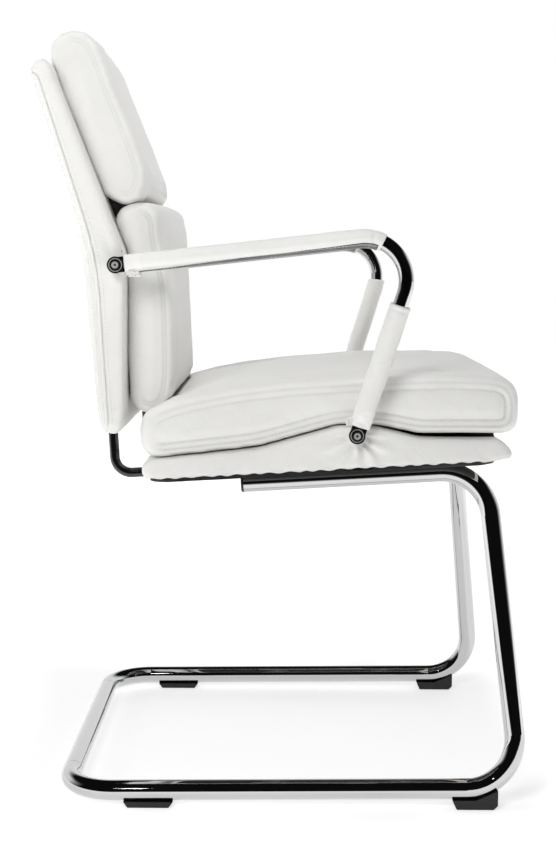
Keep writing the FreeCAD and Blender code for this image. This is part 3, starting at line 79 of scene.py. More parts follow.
cushion_outline = (
    (0.1958, 0.0809), (0.1965, 0.0523), (0.1916, 0.0377), (0.1825, 0.0312), (0.1635, 0.0311), (0.0965, 0.0365),
    (0.0320, 0.0443), (-0.0075, 0.0520), (-0.0375, 0.0590), (-0.0815, 0.0560), (-0.1310, 0.0418),
    (-0.2405, 0.0380), (-0.2462, 0.0445), (-0.2504, 0.0589), (-0.2513, 0.0850), (-0.2481, 0.0923),
    (-0.2371, 0.0994), (-0.2156, 0.1047), (-0.1663, 0.1091), (-0.1003, 0.1099), (-0.0285, 0.1114),
    (0.0283, 0.1104), (0.0841, 0.1062), (0.1246, 0.1013), (0.1581, 0.0950), (0.1848, 0.0850),
)
base_outline = (
    (0.0600, 0.0340), (-0.0375, 0.0550), (-0.0815, 0.0515), (-0.1310, 0.0368), (-0.2252, 0.0305),
    (-0.2345, 0.0235), (-0.2365, 0.0150), (-0.2335, 0.0085), (-0.2243, 0.0050), (0.1813, 0.0050),
    (0.1925, 0.0075), (0.1968, 0.0162), (0.1940, 0.0240), (0.1860, 0.0285),
)
box_edge = 0.006
box_depth = 0.060
end_cut_inset = 0.013
pinned_distance = 0.006
cushion_half_width = 0.2378
cushion_seam_inset = 0.0125
# Node, outline, how far its left end is set back, how much more at the top, half width, strength of the seam
back_cushions = (
    ("lumbar_cushion", lumbar_outline, 0.006, 0.008, 0.2008, 0.85),
    ("head_cushion", head_outline, 0.009, 0.010, 0.1998, 0.4),
)
back_seam_inset = 0.0105
back_seam_spread = 0.0018

# The padding of seat base and back, its lower lip and staples, and the nap of the black pads
shell_cell = 0.0036
base_box_depth = 0.030
base_box_clearance = 0.0004
lip_half_width = 0.2375
lip_height = 0.0050
staple_pitch = 0.0205
back_end_overhang = 0.0060
back_end_rise = 0.0020
plug_radius = 0.0095
plug_depth = 0.010
bolt_inset = 0.006
nap_height = 0.0003

# Centre line of an arm and its two sleeves
tongue_spread = 0.256
arm_corner_spread = 0.2765
arm_corner_reach = 0.1287
arm_corner_height = 0.6935
arm_bend_radius = 0.049
arm_flat_run = 0.012
arm_flare_run = 0.030
rear_bolt_reach = 0.2265
rear_bolt_height = 0.654
seat_bolt_reach = 0.0575
seat_bolt_rise = 0.046
upper_sleeve_radius = 0.01055
upper_sleeve_wall = 0.0014
upper_sleeve_gap = 0.0102
upper_sleeve_turn = radians(33.0)
upper_sleeve_end_depth = 0.0095
lower_sleeve_radius = 0.01235
lower_sleeve_wall = 0.0028
lower_sleeve_gap = 0.0104
lower_sleeve_start_right = 0.0130
lower_sleeve_start_left = -0.0095
lower_sleeve_end_depth = 0.013
sleeve_seam_angle_left = radians(-52)
sleeve_seam_angle_right = radians(232)
sleeve_seam_half_spread = 0.17
ring_spacing = 0.0017
strip_spacing = 0.004
strip_height = 0.0004
strip_half_thickness = 0.0005
# Crumpled leather at the arm bolts, on the upper and on the lower sleeve, as (reach, height, length, depth)
upper_tuft = (0.2055, 0.6441, 0.0078, 0.0034)
lower_tuft = (-0.0450, 0.4735, 0.0042, 0.0044)
tuft_spread = 0.2590
tuft_half_width = 0.0045

# Details of the finishes
cross_tube_joint_spread = 0.172
bolt_head_radius = 0.0036
bolt_socket_shade_radius = 0.0010
washer_highlight_radius = 0.0074
edge_blur = 0.0005
shadowed_chrome_share = 0.42

# Studio, with the lamps as (name, place, target, size, power, seen in the chrome)
camera_lens = 59.90
floor_half_width = 9.0
floor_drop = 0.0003
camera_place = (-1.8847, 0.0275 + datum_reach, 0.6597)
camera_yaw, camera_pitch, camera_roll = (radians(angle) for angle in (0.37, 6.53, -0.23))
lamps = (
    ("key", (-1.35, 0.55, 1.2), (-0.2, 0.25, 0.8), 0.7, 11.0, False),
    ("front_fill", (0.1, -2.6, 1.0), (0, 0, 0.6), 1.2, 8.0, False),
    ("rear_fill", (0.2, 2.8, 1.1), (0, 0.1, 0.5), 1.2, 9.0, False),
    ("overhead", (-0.1, 0.0, 2.6), (0, 0, 0.5), 0.4, 22.0, False),
    ("spark", (-2.5, 0.5, 1.6), (0, 0.1, 0.6), 0.09, 0.3, True),
)

# Which solids wear which finish
node_finishes = {
    "chrome": ("side_frame_left", "side_frame_right", "arm_tube_left", "arm_tube_right"),
    "jointed_chrome": ("rear_cross_tube",),
    "steel": ("seat_bolts", "seat_bolt_washers", "seat_t_nuts", "foot_screws", "joint_spigots", "link_screws",
              "bracket_screws", "arm_spacers"),
    "bolt_steel": ("arm_bolts",),
    "coat": ("front_cross_bar", "rear_cross_bar", "link_rod_left", "link_rod_right", "seat_arm_bracket_left",
             "seat_arm_bracket_right", "back_arm_bracket_left", "back_arm_bracket_right"),
    "plastic": ("rear_feet", "front_feet", "rail_end_caps"),
    "washer": ("arm_washers",),
    "lining": ("underside_cover", "seat_felt", "back_lining"),
    "plywood": ("seat_board", "back_board"),
    "leather": ("seat_shell", "back_shell", "back_rear_panel", "arm_upper_sleeves", "arm_lower_sleeves"),
}
finishes = {}


def length_value(name, description, default, low, high):
    return bpy.props.FloatProperty(name=name, description=description, default=default, min=low, max=high,
                                   unit="LENGTH")


def colour_value(name, description, *default):
    return bpy.props.FloatVectorProperty(name=name, description=description, default=default, size=3,
                                         min=0, max=1, subtype="COLOR")


class ChairSizes(bpy.types.PropertyGroup):
    """Sizes of the sewn and padded details."""

    voxel: length_value("Padding cell", "Edge of the cells a pad is rebuilt from", 0.0050, 0.003, 0.01)
    puff: length_value("Puff", "Most that a pad swells between its seams", 0.005, 0.0, 0.02)
    seam_depth: length_value("Seam depth", "How deep a seam draws in the leather", 0.0007, 0.0, 0.005)
    seam_width: length_value("Seam width", "Half width of the furrow along a seam", 0.0014, 0.0005, 0.01)
    row_offset: length_value("Row offset", "From a seam to the stitches beside it", 0.0038, 0.001, 0.01)
    stitch_length: length_value("Stitch length", "Length of one stitch", 0.0031, 0.001, 0.01)
    stitch_pitch: length_value("Stitch pitch", "From one stitch to the next", 0.0044, 0.0015, 0.02)
    thread: length_value("Thread", "Thickness of the sewing thread", 0.0008, 0.0002, 0.002)
    piping: length_value("Piping", "Radius of the piping round the back", 0.0021, 0.001, 0.006)
    crease: length_value("Crease", "Depth of the folds in the leather", 0.0012, 0.0, 0.005)


class ChairColours(bpy.types.PropertyGroup):
    """Colours of the chair's finishes."""

    leather: colour_value("Leather", "White upholstery leather", 0.80, 0.795, 0.775)
    thread: colour_value("Thread", "Sewing thread", 0.78, 0.77, 0.745)
    lining: colour_value("Lining", "Black lining and felt", 0.006, 0.006, 0.006)
    chrome: colour_value("Chrome", "Chrome plate", 0.58, 0.582, 0.585)
    steel: colour_value("Steel", "Zinc plated steel", 0.62, 0.61, 0.59)
    coat: colour_value("Black coat", "Gloss black coat of rods and bars", 0.005, 0.005, 0.005)
    plastic: colour_value("Plastic", "Black moulded plastic", 0.006, 0.006, 0.006)
    wood: colour_value("Plywood", "Plywood boards", 0.56, 0.41, 0.26)
    floor: colour_value("Floor", "Pale studio floor", 0.86, 0.86, 0.86)


def sizes():
    return bpy.context.scene.chair_sizes


# Places
def seat_point(x, reach, height):
    """A point given on the seat plane: across, to the rear of the datum, above the underside."""
    return Vector((x, datum_reach + reach * cos(seat_tilt) + height * sin(seat_tilt),
                   seat_underside_height - reach * sin(seat_tilt) + height * cos(seat_tilt)))


def seat_place(point):
    """The reach and height of a point on the seat plane."""
    y, z = point.y - datum_reach, point.z - seat_underside_height
    return y * cos(seat_tilt) - z * sin(seat_tilt), y * sin(seat_tilt) + z * cos(seat_tilt)


def back_point(x, run, depth):
    """A point on the bent back: across, up from the knee along the seam line, forward of it."""
    half = (back_upper_lean - back_lower_lean) / 2
    tangent = back_bend_radius * tan(half)
    middle = (back_upper_lean + back_lower_lean) / 2
    if abs(run) >= tangent:
        angle = back_upper_lean if run > 0 else back_lower_lean
        y = back_knee_reach + sin(angle) * run - cos(angle) * depth
        z = back_knee_height + cos(angle) * run + sin(angle) * depth
    else:
        spread = back_bend_radius / cos(half)
        angle = middle + half * run / tangent
        y = back_knee_reach + cos(middle) * spread - cos(angle) * (back_bend_radius + depth)
        z = back_knee_height - sin(middle) * spread + sin(angle) * (back_bend_radius + depth)
    return Vector((x, y + datum_reach, z))


def rear_bolt(x):
    return Vector((x, rear_bolt_reach + datum_reach, rear_bolt_height))


def seat_bolt(x):
    return seat_point(x, -seat_bolt_reach, seat_bolt_rise)


def hump(value):
    return exp(-value * value)


def smooth(low, high, value):
    share = min(max((value - low) / (high - low), 0.0), 1.0)
    return share * share * (3 - 2 * share)


def spaced(start, end, count):
    return [start + (end - start) * index / count for index in range(count + 1)]


class ArmLine:
    """Centre line of one arm, from its rear bolt round the bend to its seat bolt."""

    def __init__(self, sign):
        self.rear, self.low = rear_bolt(sign * tongue_spread), seat_bolt(sign * tongue_spread)
        corner = Vector((sign * arm_corner_spread, datum_reach - arm_corner_reach, arm_corner_height))
        self.first = (corner - self.rear).normalized()
        self.second = (self.low - corner).normalized()
        self.inward = (self.second - self.first * self.second.dot(self.first)).normalized()
        turn = self.first.angle(self.second)
        tangent = arm_bend_radius * tan(turn / 2)
        self.bend_start = (corner - self.rear).length - tangent
        self.bend_end = self.bend_start + arm_bend_radius * turn
        self.end = self.bend_end + (self.low - corner).length - tangent

    def at(self, run):
        """At a distance from the rear bolt: the line's place, the way across the chair and the way up from both."""
        if run >= self.bend_end:
            place, way = self.low - self.second * (self.end - run), self.second
        else:
            angle = max(run - self.bend_start, 0.0) / arm_bend_radius
            place = self.rear + self.first * min(run, self.bend_start)
            place += (self.first * sin(angle) + self.inward * (1 - cos(angle))) * arm_bend_radius
            way = self.first * cos(angle) + self.inward * sin(angle)
        across = (Vector((1, 0, 0)) - way * way.x).normalized()
        return place, across, way.cross(across)


# Shader maths
class Signal:
    """A shader socket that takes part in sums and products as a number does."""

    def __init__(self, maker, socket):
        self.maker = maker
        self.socket = socket

    def maths(self, operation, *others):
        return self.maker.add("ShaderNodeMath", enumerate((self,) + others), operation=operation)

    def __add__(self, other):
        return self.maths("ADD", other)

    def __mul__(self, other):
        return self.maths("MULTIPLY", other)

    __radd__ = __add__
    __rmul__ = __mul__

    def __sub__(self, other):
        return self.maths("SUBTRACT", other)

    def __rsub__(self, other):
        return self.maker.add("ShaderNodeMath", {0: other, 1: self}, operation="SUBTRACT")

    def __pow__(self, other):
        return self.maths("POWER", other)

    def size(self):
        return self.maths("ABSOLUTE")

    def within(self, low, high):
        """0 below low, 1 above high, smooth between."""
        return self.maker.add("ShaderNodeMapRange", {"Value": self, "From Min": low, "From Max": high},
                              interpolation_type="SMOOTHSTEP")


class NodeMaker:
    """A node tree and short ways to fill it."""

    def __init__(self, tree):
        self.tree = tree
        tree.nodes.clear()

    def fill(self, socket, value):
        if isinstance(value, Signal):
            self.tree.links.new(value.socket, socket)
        elif socket.type == "RGBA" and len(value) == 3:
            socket.default_value = (*value, 1.0)
        else:
            socket.default_value = value

    def add(self, kind, inputs=(), output=0, **settings):
        """A node of the given type, with its settings made first and its sockets filled."""
        node = self.tree.nodes.new(kind)
        for key, value in settings.items():
            setattr(node, key, value)
        for key, value in dict(inputs).items():
            self.fill(node.inputs[key], value)
        return Signal(self, node.outputs[output])

    def end(self, kind, surface):
        """The tree's output node."""
        self.fill(self.tree.nodes.new(kind).inputs["Surface"], surface)

    def axes(self, vector):
        """The three parts of a vector."""
        node = self.add("ShaderNodeSeparateXYZ", {0: vector}).socket.node
        return [Signal(self, socket) for socket in node.outputs]


class Finish(NodeMaker):
    """A material, its own colour and the nodes that make it."""

    def __init__(self, name, colour, share=1.0):
        self.material = bpy.data.materials.new(name)
        self.material.use_nodes = True
        super().__init__(self.material.node_tree)
        self.colour = getattr(bpy.context.scene.chair_colours, colour)
        self.colour = self.tone(share)

    def tone(self, share):
        return tuple(min(part * share, 1.0) for part in self.colour)

    def place(self):
        return self.add("ShaderNodeTexCoord", output="Object")

    def from_bolts(self):
        """Distance, seen from the chair's side, to the nearer of the two arm bolts."""
        x, y, z = self.axes(self.place())
        near, far = (((y - bolt.y) ** 2.0 + (z - bolt.z) ** 2.0) ** 0.5 for bolt in (rear_bolt(0), seat_bolt(0)))
        return near.maths("MINIMUM", far)

    def cloud(self, scale, detail=2.0, roughness=0.5, distortion=0.0, stretch=None):
        place = self.place()
        if stretch:
            place = self.add("ShaderNodeMapping", {"Vector": place, "Scale": stretch})
        return self.add("ShaderNodeTexNoise", {"Vector": place, "Scale": scale, "Detail": detail,
                                               "Roughness": roughness, "Distortion": distortion})

    def cells(self, scale):
        return self.add("ShaderNodeTexVoronoi", {"Vector": self.place(), "Scale": scale})

    def blend(self, share, first, second):
        """From one colour to another. A number stands for a tone of the finish's own colour."""
        first, second = (self.tone(item) if isinstance(item, float) else item for item in (first, second))
        return self.add("ShaderNodeMix", {0: share, 6: first, 7: second}, 2, data_type="RGBA")

    def bump(self, height, distance, strength, below=None):
        inputs = {"Height": height, "Distance": distance, "Strength": strength}
        if below:
            inputs["Normal"] = below
        return self.add("ShaderNodeBump", inputs)

    def done(self, shade, rough, relief=None, **others):
        """Fill the surface's sockets and hand over the material. Underscores stand for spaces."""
        inputs = {key.replace("_", " "): value for key, value in others.items()}
        inputs.update({"Base Color": shade, "Roughness": rough})
        if relief:
            inputs["Normal"] = relief
        self.end("ShaderNodeOutputMaterial", self.add("ShaderNodeBsdfPrincipled", inputs))
        return self.material


def leather_finish():
    """White leather: fine pebbled grain, soft creases, a slight sheen, and painted shade in its seams and creases."""
    finish = Finish("white_leather", "leather")
    grain = finish.add("ShaderNodeTexVoronoi", {"Vector": finish.place(), "Scale": 720.0, "Smoothness": 0.35},
                       feature="SMOOTH_F1")
    drift = finish.cloud(7.0, 3.0)
    lines = (finish.cloud(26.0, 4.0, 0.55, 0.6) - 0.5).size().within(0.0, 0.045)
    seam = finish.add("ShaderNodeAttribute", output="Fac", attribute_name="seam")
    shade = finish.blend(drift.within(0.3, 0.75), 0.975, 1.015)
    # Painted shade: the crease lines are darkened a little.
    shade = finish.blend((1 - lines) * 0.05, shade, 0.86)
    # Painted shade along the seams, where the seam layer marks them.
    shade = finish.blend(seam * 0.5, shade, 0.45)
    rough = 0.40 + grain * 0.10 + drift * 0.08 + seam * 0.10
    relief = finish.bump(grain * 0.55 + finish.cloud(1500.0) * 0.18, 0.00016, 0.55)
    relief = finish.bump(lines, 0.0004, 0.35, relief)
    return finish.done(shade, rough, relief, Specular_IOR_Level=0.42, Sheen_Weight=0.06, Sheen_Roughness=0.5,
                       Coat_Weight=0.05, Coat_Roughness=0.35)


def chrome_finish(name, joint=0.0, share=1.0):
    """Bright chrome with faint polishing marks and smudges, and a fine line at a joint's distance from the middle. A
    share below one darkens the colour as painted shade.
    """
    finish = Finish(name, "chrome", share)
    smudge = finish.cloud(18.0, 4.0)
    shade = finish.blend(smudge.within(0.45, 0.8) * 0.35, 1.0, 0.93)
    rough = 0.035 + smudge.within(0.5, 0.85) * 0.05 + finish.cloud(90.0).within(0.55, 0.8) * 0.02
    if joint:
        line = 1 - (finish.axes(finish.place())[0].size() - joint).size().within(0.0004, 0.0009)
        shade = finish.blend(line * 0.9, shade, 0.12)
        rough = rough + line * 0.4
    relief = finish.bump(finish.cloud(420.0, stretch=(0.06, 1.0, 0.06)), 0.00002, 0.25)
    return finish.done(shade, rough, relief, Metallic=1.0)


def steel_finish(name, head=False):
    """Zinc plated steel: spangled colour and fine scratches. A bolt head is blackened round its bright ring, and
    painted shade darkens its socket.
    """
    finish = Finish(name, "steel")
    scratch = finish.cloud(900.0, 3.0, 0.6, stretch=(1.0, 0.08, 1.0))
    shade = finish.blend(finish.cells(260.0).within(0.2, 0.9) * 0.4, 1.0, 0.84)
    shade = finish.blend(finish.cloud(60.0, 3.0).within(0.55, 0.8) * 0.3, shade, 0.6)
    if head:
        away = finish.from_bolts()
        rim = away.within(bolt_head_radius, bolt_head_radius + edge_blur)
        # Painted shade in the bolt's socket.
        socket = 1 - away.within(bolt_socket_shade_radius, bolt_socket_shade_radius + edge_blur)
        shade = finish.blend(rim + socket, shade, (0.012, 0.012, 0.012))
    relief = finish.bump(scratch, 0.00004, 0.5)
    return finish.done(shade, 0.26 + scratch * 0.16, relief, Metallic=0.4 if head else 1.0)


def coat_finish():
    """Gloss black coat with a trace of orange peel and dust."""
    finish = Finish("gloss_black", "coat")
    dust = finish.cloud(55.0, 5.0, 0.6)
    shade = finish.blend(dust.within(0.58, 0.8) * 0.25, 1.0, (0.05, 0.05, 0.05))
    relief = finish.bump(finish.cloud(380.0), 0.00006, 0.4)
    return finish.done(shade, 0.16 + dust.within(0.5, 0.9) * 0.2, relief, Coat_Weight=0.6, Coat_Roughness=0.08,
                       Specular_IOR_Level=0.55)


def plastic_finish(name, rings=False):
    """Black moulded plastic: fine spark texture and paler scuffs, or on the washers a painted highlight ring."""
    finish = Finish(name, "plastic")
    spark = finish.cloud(1300.0, 3.0, 0.6)
    relief = finish.bump(spark, 0.00012, 0.5)
    if rings:
        # Painted highlight: a thin pale ring round each arm bolt.
        ring = 1 - (finish.from_bolts() - washer_highlight_radius).size().within(0.0002, 0.0007)
        shade = finish.blend(ring * 0.8, 1.0, (0.50, 0.50, 0.50))
        return finish.done(shade, 0.34 + spark * 0.10, relief, Specular_IOR_Level=0.3)
    scuff = finish.cloud(70.0, 5.0, 0.65, stretch=(1.0, 0.35, 1.0))
    shade = finish.blend(scuff.within(0.56, 0.78) * 0.35, 1.0, (0.06, 0.06, 0.06))
    return finish.done(shade, 0.40 + spark * 0.18, relief)


def lining_finish():
    """Black non-woven lining: soft fibres, nap and a little lint."""
    finish = Finish("black_lining", "lining")
    fibre = finish.cloud(650.0, 4.0, 0.7, 1.2)
    lint = 1 - finish.cells(330.0).within(0.02, 0.06)
    shade = finish.blend(lint * 0.3, finish.blend(fibre, 1.0, 2.2), (0.09, 0.09, 0.09))
    relief = finish.bump(fibre, 0.0004, 0.7)
    return finish.done(shade, 0.86 + finish.cloud(40.0, 3.0) * 0.1, relief, Specular_IOR_Level=0.2,
                       Sheen_Weight=0.25, Sheen_Roughness=0.6)


def plywood_finish():
    """Birch plywood with long grain and darker growth lines."""
    finish = Finish("plywood", "wood")
    grain = finish.cloud(60.0, 6.0, 0.6, 0.4, (1.0, 0.08, 1.0))
    line = finish.cloud(260.0, 4.0, 0.7, stretch=(1.0, 0.04, 1.0))
    shade = finish.blend(grain.within(0.35, 0.7), 1.1, 0.72)
    shade = finish.blend(line.within(0.5, 0.7) * 0.35, shade, 0.5)
    return finish.done(shade, 0.55 + grain * 0.15, finish.bump(line, 0.0003, 0.4))


def thread_finish():
    """Twisted sewing thread."""
    finish = Finish("white_thread", "thread")
    twist = finish.cloud(2400.0, stretch=(1.0, 1.0, 0.4))
    shade = finish.blend(twist.within(0.35, 0.65), 0.86, 1.04)
    return finish.done(shade, 0.5 + twist * 0.15, finish.bump(twist, 0.0001, 0.6), Sheen_Weight=0.15)


def floor_finish():
    """Pale floor that glows, most of all far away. In reflections it ends a step in front of the chair,
    where a studio is dark."""
    finish = Finish("studio_floor", "floor")
    shade = finish.blend(finish.cloud(3.0, 3.0).within(0.3, 0.7), 0.985, 1.01)
    x, y, z = finish.axes(finish.place())
    reach = (x * x + y * y) ** 0.5
    glow = finish.blend(reach.within(0.6, 1.8), (0.62, 0.62, 0.62), (1.0, 1.0, 1.0))
    dark = finish.add("ShaderNodeLightPath", output="Is Glossy Ray") * (1 - x.within(-1.2, -0.75))
    shade = finish.blend(dark, shade, (0.01, 0.01, 0.01))
    glow = finish.blend(dark, glow, (0.0, 0.0, 0.0))
    return finish.done(shade, 0.6, Specular_IOR_Level=0.2, Emission_Color=glow, Emission_Strength=1.0)


# Pieces
def linked(name, data):
    """A new object in the scene."""
    thing = bpy.data.objects.new(name, data)
    bpy.context.scene.collection.objects.link(thing)
    return thing


def as_mesh(name, bm):
    """Turn a bmesh into a mesh."""
    mesh = bpy.data.meshes.new(name)
    bm.to_mesh(mesh)
    bm.free()
    return mesh


def new_piece(name, bm, finish):
    """Turn a bmesh into a smooth-shaded piece that rides on the chair's one body."""
    mesh = as_mesh(name, bm)
    for face in mesh.polygons:
        face.use_smooth = True
    mesh.materials.append(finishes[finish])
    piece = linked(name, mesh)
    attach(piece, "root")
    return piece


def soft_piece(name, bm, finish, slot, fill, *replaced):
    """A padded piece that takes the place of the named solids."""
    piece = new_piece(name, bm, finish)
    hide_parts(*replaced)


def node_copy(*names):
    """One bmesh of the named solids, with their loose triangles merged."""
    bm = bmesh.new()
    for name in names:
        bm.from_mesh(nodes[name].data)
    bmesh.ops.remove_doubles(bm, verts=bm.verts, dist=0.00002)
    return bm


def joined(bm, part):
    """Add one bmesh to another."""
    mesh = as_mesh("part", part)
    bm.from_mesh(mesh)
    bpy.data.meshes.remove(mesh)


def triangulated(bm):
    """Split the faces that cuts have left with more than four corners."""
    bmesh.ops.triangulate(bm, faces=[face for face in bm.faces if len(face.verts) > 4])


def fine_copy(name, longest):
    """The node's solid with no edge longer than the given length."""
    bm = node_copy(name)
    while wide := [edge for edge in bm.edges if edge.calc_length() > longest]:
        bmesh.ops.subdivide_edges(bm, edges=wide, cuts=1)
        triangulated(bm)
    bm.normal_update()
    return bm


def napped_pad(node, name, longest, scale, fill):
    """A thin black pad grown from its plain solid."""
    bm = fine_copy(node, longest)
    for vert in bm.verts:
        vert.co += vert.normal * nap_height * noise.noise(vert.co * scale)
    soft_piece(name, bm, "lining", "black_fabric", fill, node)


def plugged(bm, place):
    """Fill the hole that a spacer goes through, so that the leather lies tight round it."""
    for sign in (1, -1):
        centre = Matrix.Translation(Vector((sign * place.x, place.y, place.z)))
        bmesh.ops.create_cone(bm, cap_ends=True, segments=24, radius1=plug_radius, radius2=plug_radius,
                              depth=plug_depth, matrix=centre @ Matrix.Rotation(pi / 2, 4, "Y"))


def boxed(bm, outlines, inner, outer):
    """A block of the given outline on the left and on the right, with its outer edges rounded."""
    for sign, outline in zip((1, -1), outlines):
        block = bmesh.new()
        face = block.faces.new([block.verts.new((sign * outer, y, z)) for y, z in outline])
        for item in bmesh.ops.extrude_face_region(block, geom=[face])["geom"]:
            if isinstance(item, bmesh.types.BMVert):
                item.co.x = sign * inner
        rim = [link for link in block.edges if all(abs(vert.co.x) > outer - 0.0001 for vert in link.verts)]
        bmesh.ops.bevel(block, geom=rim, offset=box_edge, offset_type="OFFSET", segments=4, profile=0.5,
                        affect="EDGES", material=-1)
        bmesh.ops.recalc_face_normals(block, faces=block.faces)
        joined(bm, block)


def height_span(outline):
    heights = [height for reach, height in outline]
    return min(heights), max(heights)


def ahead_of_middle(outline, reach, height):
    """1 in front of the middle line of a back cushion's end, 0 behind it. The head cushion's line leans."""
    low, high = height_span(outline)
    middle = sum(reach for reach, height in outline) / len(outline)
    lean = (height - (low + high) / 2) * tan(back_upper_lean) * (high > 0.8)
    return smooth(0.010, -0.004, reach - middle - lean)


def upright_outlines(outline, setback, top):
    """Left and right outline of a back cushion in the row frame. The left one is thinner in front and at its top."""
    low, high = height_span(outline)
    left = []
    for reach, height in outline:
        share = (height - low) / (high - low)
        back = setback * (1.3 - 0.6 * share) + top * smooth(0.6, 1.0, share)
        left.append((reach + back * ahead_of_middle(outline, reach, height) + datum_reach,
                     height - 0.8 * top * smooth(0.8, 1.0, share)))
    return left, [(reach + datum_reach, height) for reach, height in outline]


def seat_outlines(outline):
    """Left and right outline of a piece of the seat in the row frame."""
    places = [seat_point(0.0, reach, height) for reach, height in outline]
    return [[(place.y, place.z) for place in places]] * 2


def round_cord(points, radius):
    """A round cord along a closed line of points."""
    curve = bpy.data.curves.new("line", "CURVE")
    curve.dimensions = "3D"
    curve.bevel_depth = radius
    curve.bevel_resolution = 2
    spline = curve.splines.new("POLY")
    spline.points.add(len(points) - 1)
    for knot, point in zip(spline.points, points):
        knot.co = (*point, 1.0)
    spline.use_cyclic_u = True
    work = linked("line", curve)
    bpy.context.view_layer.update()
    bm = bmesh.new()
    bm.from_mesh(work.to_mesh())
    work.to_mesh_clear()
    bpy.data.objects.remove(work)
    bpy.data.curves.remove(curve)
    return bm


def ring_skin(stations, around, point_at, endless=True):
    """Rings of points bridged into a skin. point_at(station, angle) gives each point."""
    bm = bmesh.new()
    rings = []
    for station in stations:
        made = bmesh.ops.create_circle(bm, segments=around, radius=1.0)["verts"]
        for index, vert in enumerate(made):
            vert.co = point_at(station, 2 * pi * index / around)
        rings.append(list({edge for vert in made for edge in vert.link_edges}))
    for before, after in zip(rings, rings[1:] + (rings[:1] if endless else [])):
        bmesh.ops.bridge_loops(bm, edges=before + after)
    if not endless:
        bmesh.ops.holes_fill(bm, edges=bm.edges, sides=0)
    bmesh.ops.recalc_face_normals(bm, faces=bm.faces)
    return bm


def modified(bm, kind, **settings):
    """The bmesh after one modifier."""
    mesh = as_mesh("work", bm)
    work = linked("work", mesh)
    modifier = work.modifiers.new(kind, kind)
    for key, value in settings.items():
        setattr(modifier, key, value)
    bpy.context.view_layer.update()
    result = bmesh.new()
    result.from_object(work, bpy.context.evaluated_depsgraph_get())
    bpy.data.objects.remove(work)
    bpy.data.meshes.remove(mesh)
    return result


def outer_skin(bm):
    """Drop the closed shells inside the largest one."""
    left = set(bm.verts)
    islands = []
    while left:
        island = [left.pop()]
        for vert in island:
            for edge in vert.link_edges:
                other = edge.other_vert(vert)
                if other in left:
                    left.discard(other)
                    island.append(other)
        islands.append(island)
    islands.sort(key=len)
    for island in islands[:-1]:
        bmesh.ops.delete(bm, geom=island, context="VERTS")


def smoothed(bm, verts, factor, turns):
    for turn in range(turns):
        bmesh.ops.smooth_vert(bm, verts=verts, factor=factor, use_axis_x=True, use_axis_y=True, use_axis_z=True)
    bm.normal_update()


def remeshed(bm, cell, turns):
    """Rebuild a form from even cells and smooth away its facets."""
    bm = modified(bm, "REMESH", mode="VOXEL", voxel_size=cell)
    outer_skin(bm)
    smoothed(bm, bm.verts, 0.5, turns)
    return bm


def puffed(bm, held, cap):
    """Swell a pad with a short cloth run. Held points stay, and no point moves past the cap.
    A free point moves outwards at least by the pad's filling, so that corners stay full."""
    filling = cap * 0.5
    mesh = bpy.data.meshes.new("pad")
    bm.to_mesh(mesh)
    pad = linked("pad", mesh)
    pad.vertex_groups.new(name="held").add(sorted(held), 1.0, "REPLACE")
    cloth = pad.modifiers.new("cloth", "CLOTH").settings
    cloth.vertex_group_mass = "held"
    cloth.use_pressure = True
    cloth.uniform_pressure_force = 4.0
    cloth.effector_weights.gravity = 0.0
    cloth.quality = 4
    cloth.mass = 0.25
    cloth.bending_stiffness = 3.0
    scene = bpy.context.scene
    for moment in range(1, 21):
        scene.frame_set(moment)
    result = bmesh.new()
    result.from_object(pad, bpy.context.evaluated_depsgraph_get())
    bm.verts.ensure_lookup_table()
    result.verts.ensure_lookup_table()
    for before, after in zip(bm.verts, result.verts):
        step = after.co - before.co
        outwards = step.dot(before.normal)
        if before.index not in held and outwards < filling:
            step += before.normal * (filling - outwards)
        if step.length > cap:
            step *= cap / step.length
        before.co += step
    result.free()
    bpy.data.objects.remove(pad)
    bpy.data.meshes.remove(mesh)
    scene.frame_set(1)
    smoothed(bm, bm.verts, 0.4, 2)


def refined(bm, wanted):
    """Halve the edges of the faces near the points that a test picks."""
    edges = {edge for face in bm.faces if wanted(face.calc_center_median()) for edge in face.edges}
    bmesh.ops.subdivide_edges(bm, edges=list(edges), cuts=1, use_grid_fill=True)
    triangulated(bm)
    bm.normal_update()


def section_line(bm, x):
    """The longest closed line in which an upright plane along the chair cuts a form, as points in order."""
    cut = bm.copy()
    made = bmesh.ops.bisect_plane(cut, geom=cut.verts[:] + cut.edges[:] + cut.faces[:],
                                  plane_co=Vector((x, 0, 0)), plane_no=Vector((1, 0, 0)))
    edges = {item for item in made["geom_cut"] if isinstance(item, bmesh.types.BMEdge)}
    best = []
    while edges:
        line = list(edges.pop().verts)
        while step := next((edge for edge in line[-1].link_edges if edge in edges), None):
            edges.discard(step)
            line.append(step.other_vert(line[-1]))
        best = max(best, line, key=len)
    points = [vert.co.copy() for vert in best]
    cut.free()
    return points[:-1]


def evenly(points, spacing, closed=True):
    """Points at an even spacing along a line."""
    line = points + points[:1] if closed else points
    lengths = [0.0]
    for a, b in zip(line, line[1:]):
        lengths.append(lengths[-1] + (b - a).length)
    count = max(int(lengths[-1] / spacing), 4)
    result = []
    at = 0
    for index in range(count if closed else count + 1):
        goal = lengths[-1] * index / count
        while at < len(lengths) - 2 and lengths[at + 1] < goal:
            at += 1
        step = lengths[at + 1] - lengths[at]
        result.append(line[at].lerp(line[at + 1], (goal - lengths[at]) / step if step else 0.0))
    return result


def rounded_line(points, turns):
    """Smooth a closed line without moving it far."""
    for turn in range(turns):
        count = len(points)
        points = [(points[i - 1] + points[i] * 2 + points[(i + 1) % count]) / 4 for i in range(count)]
    return points


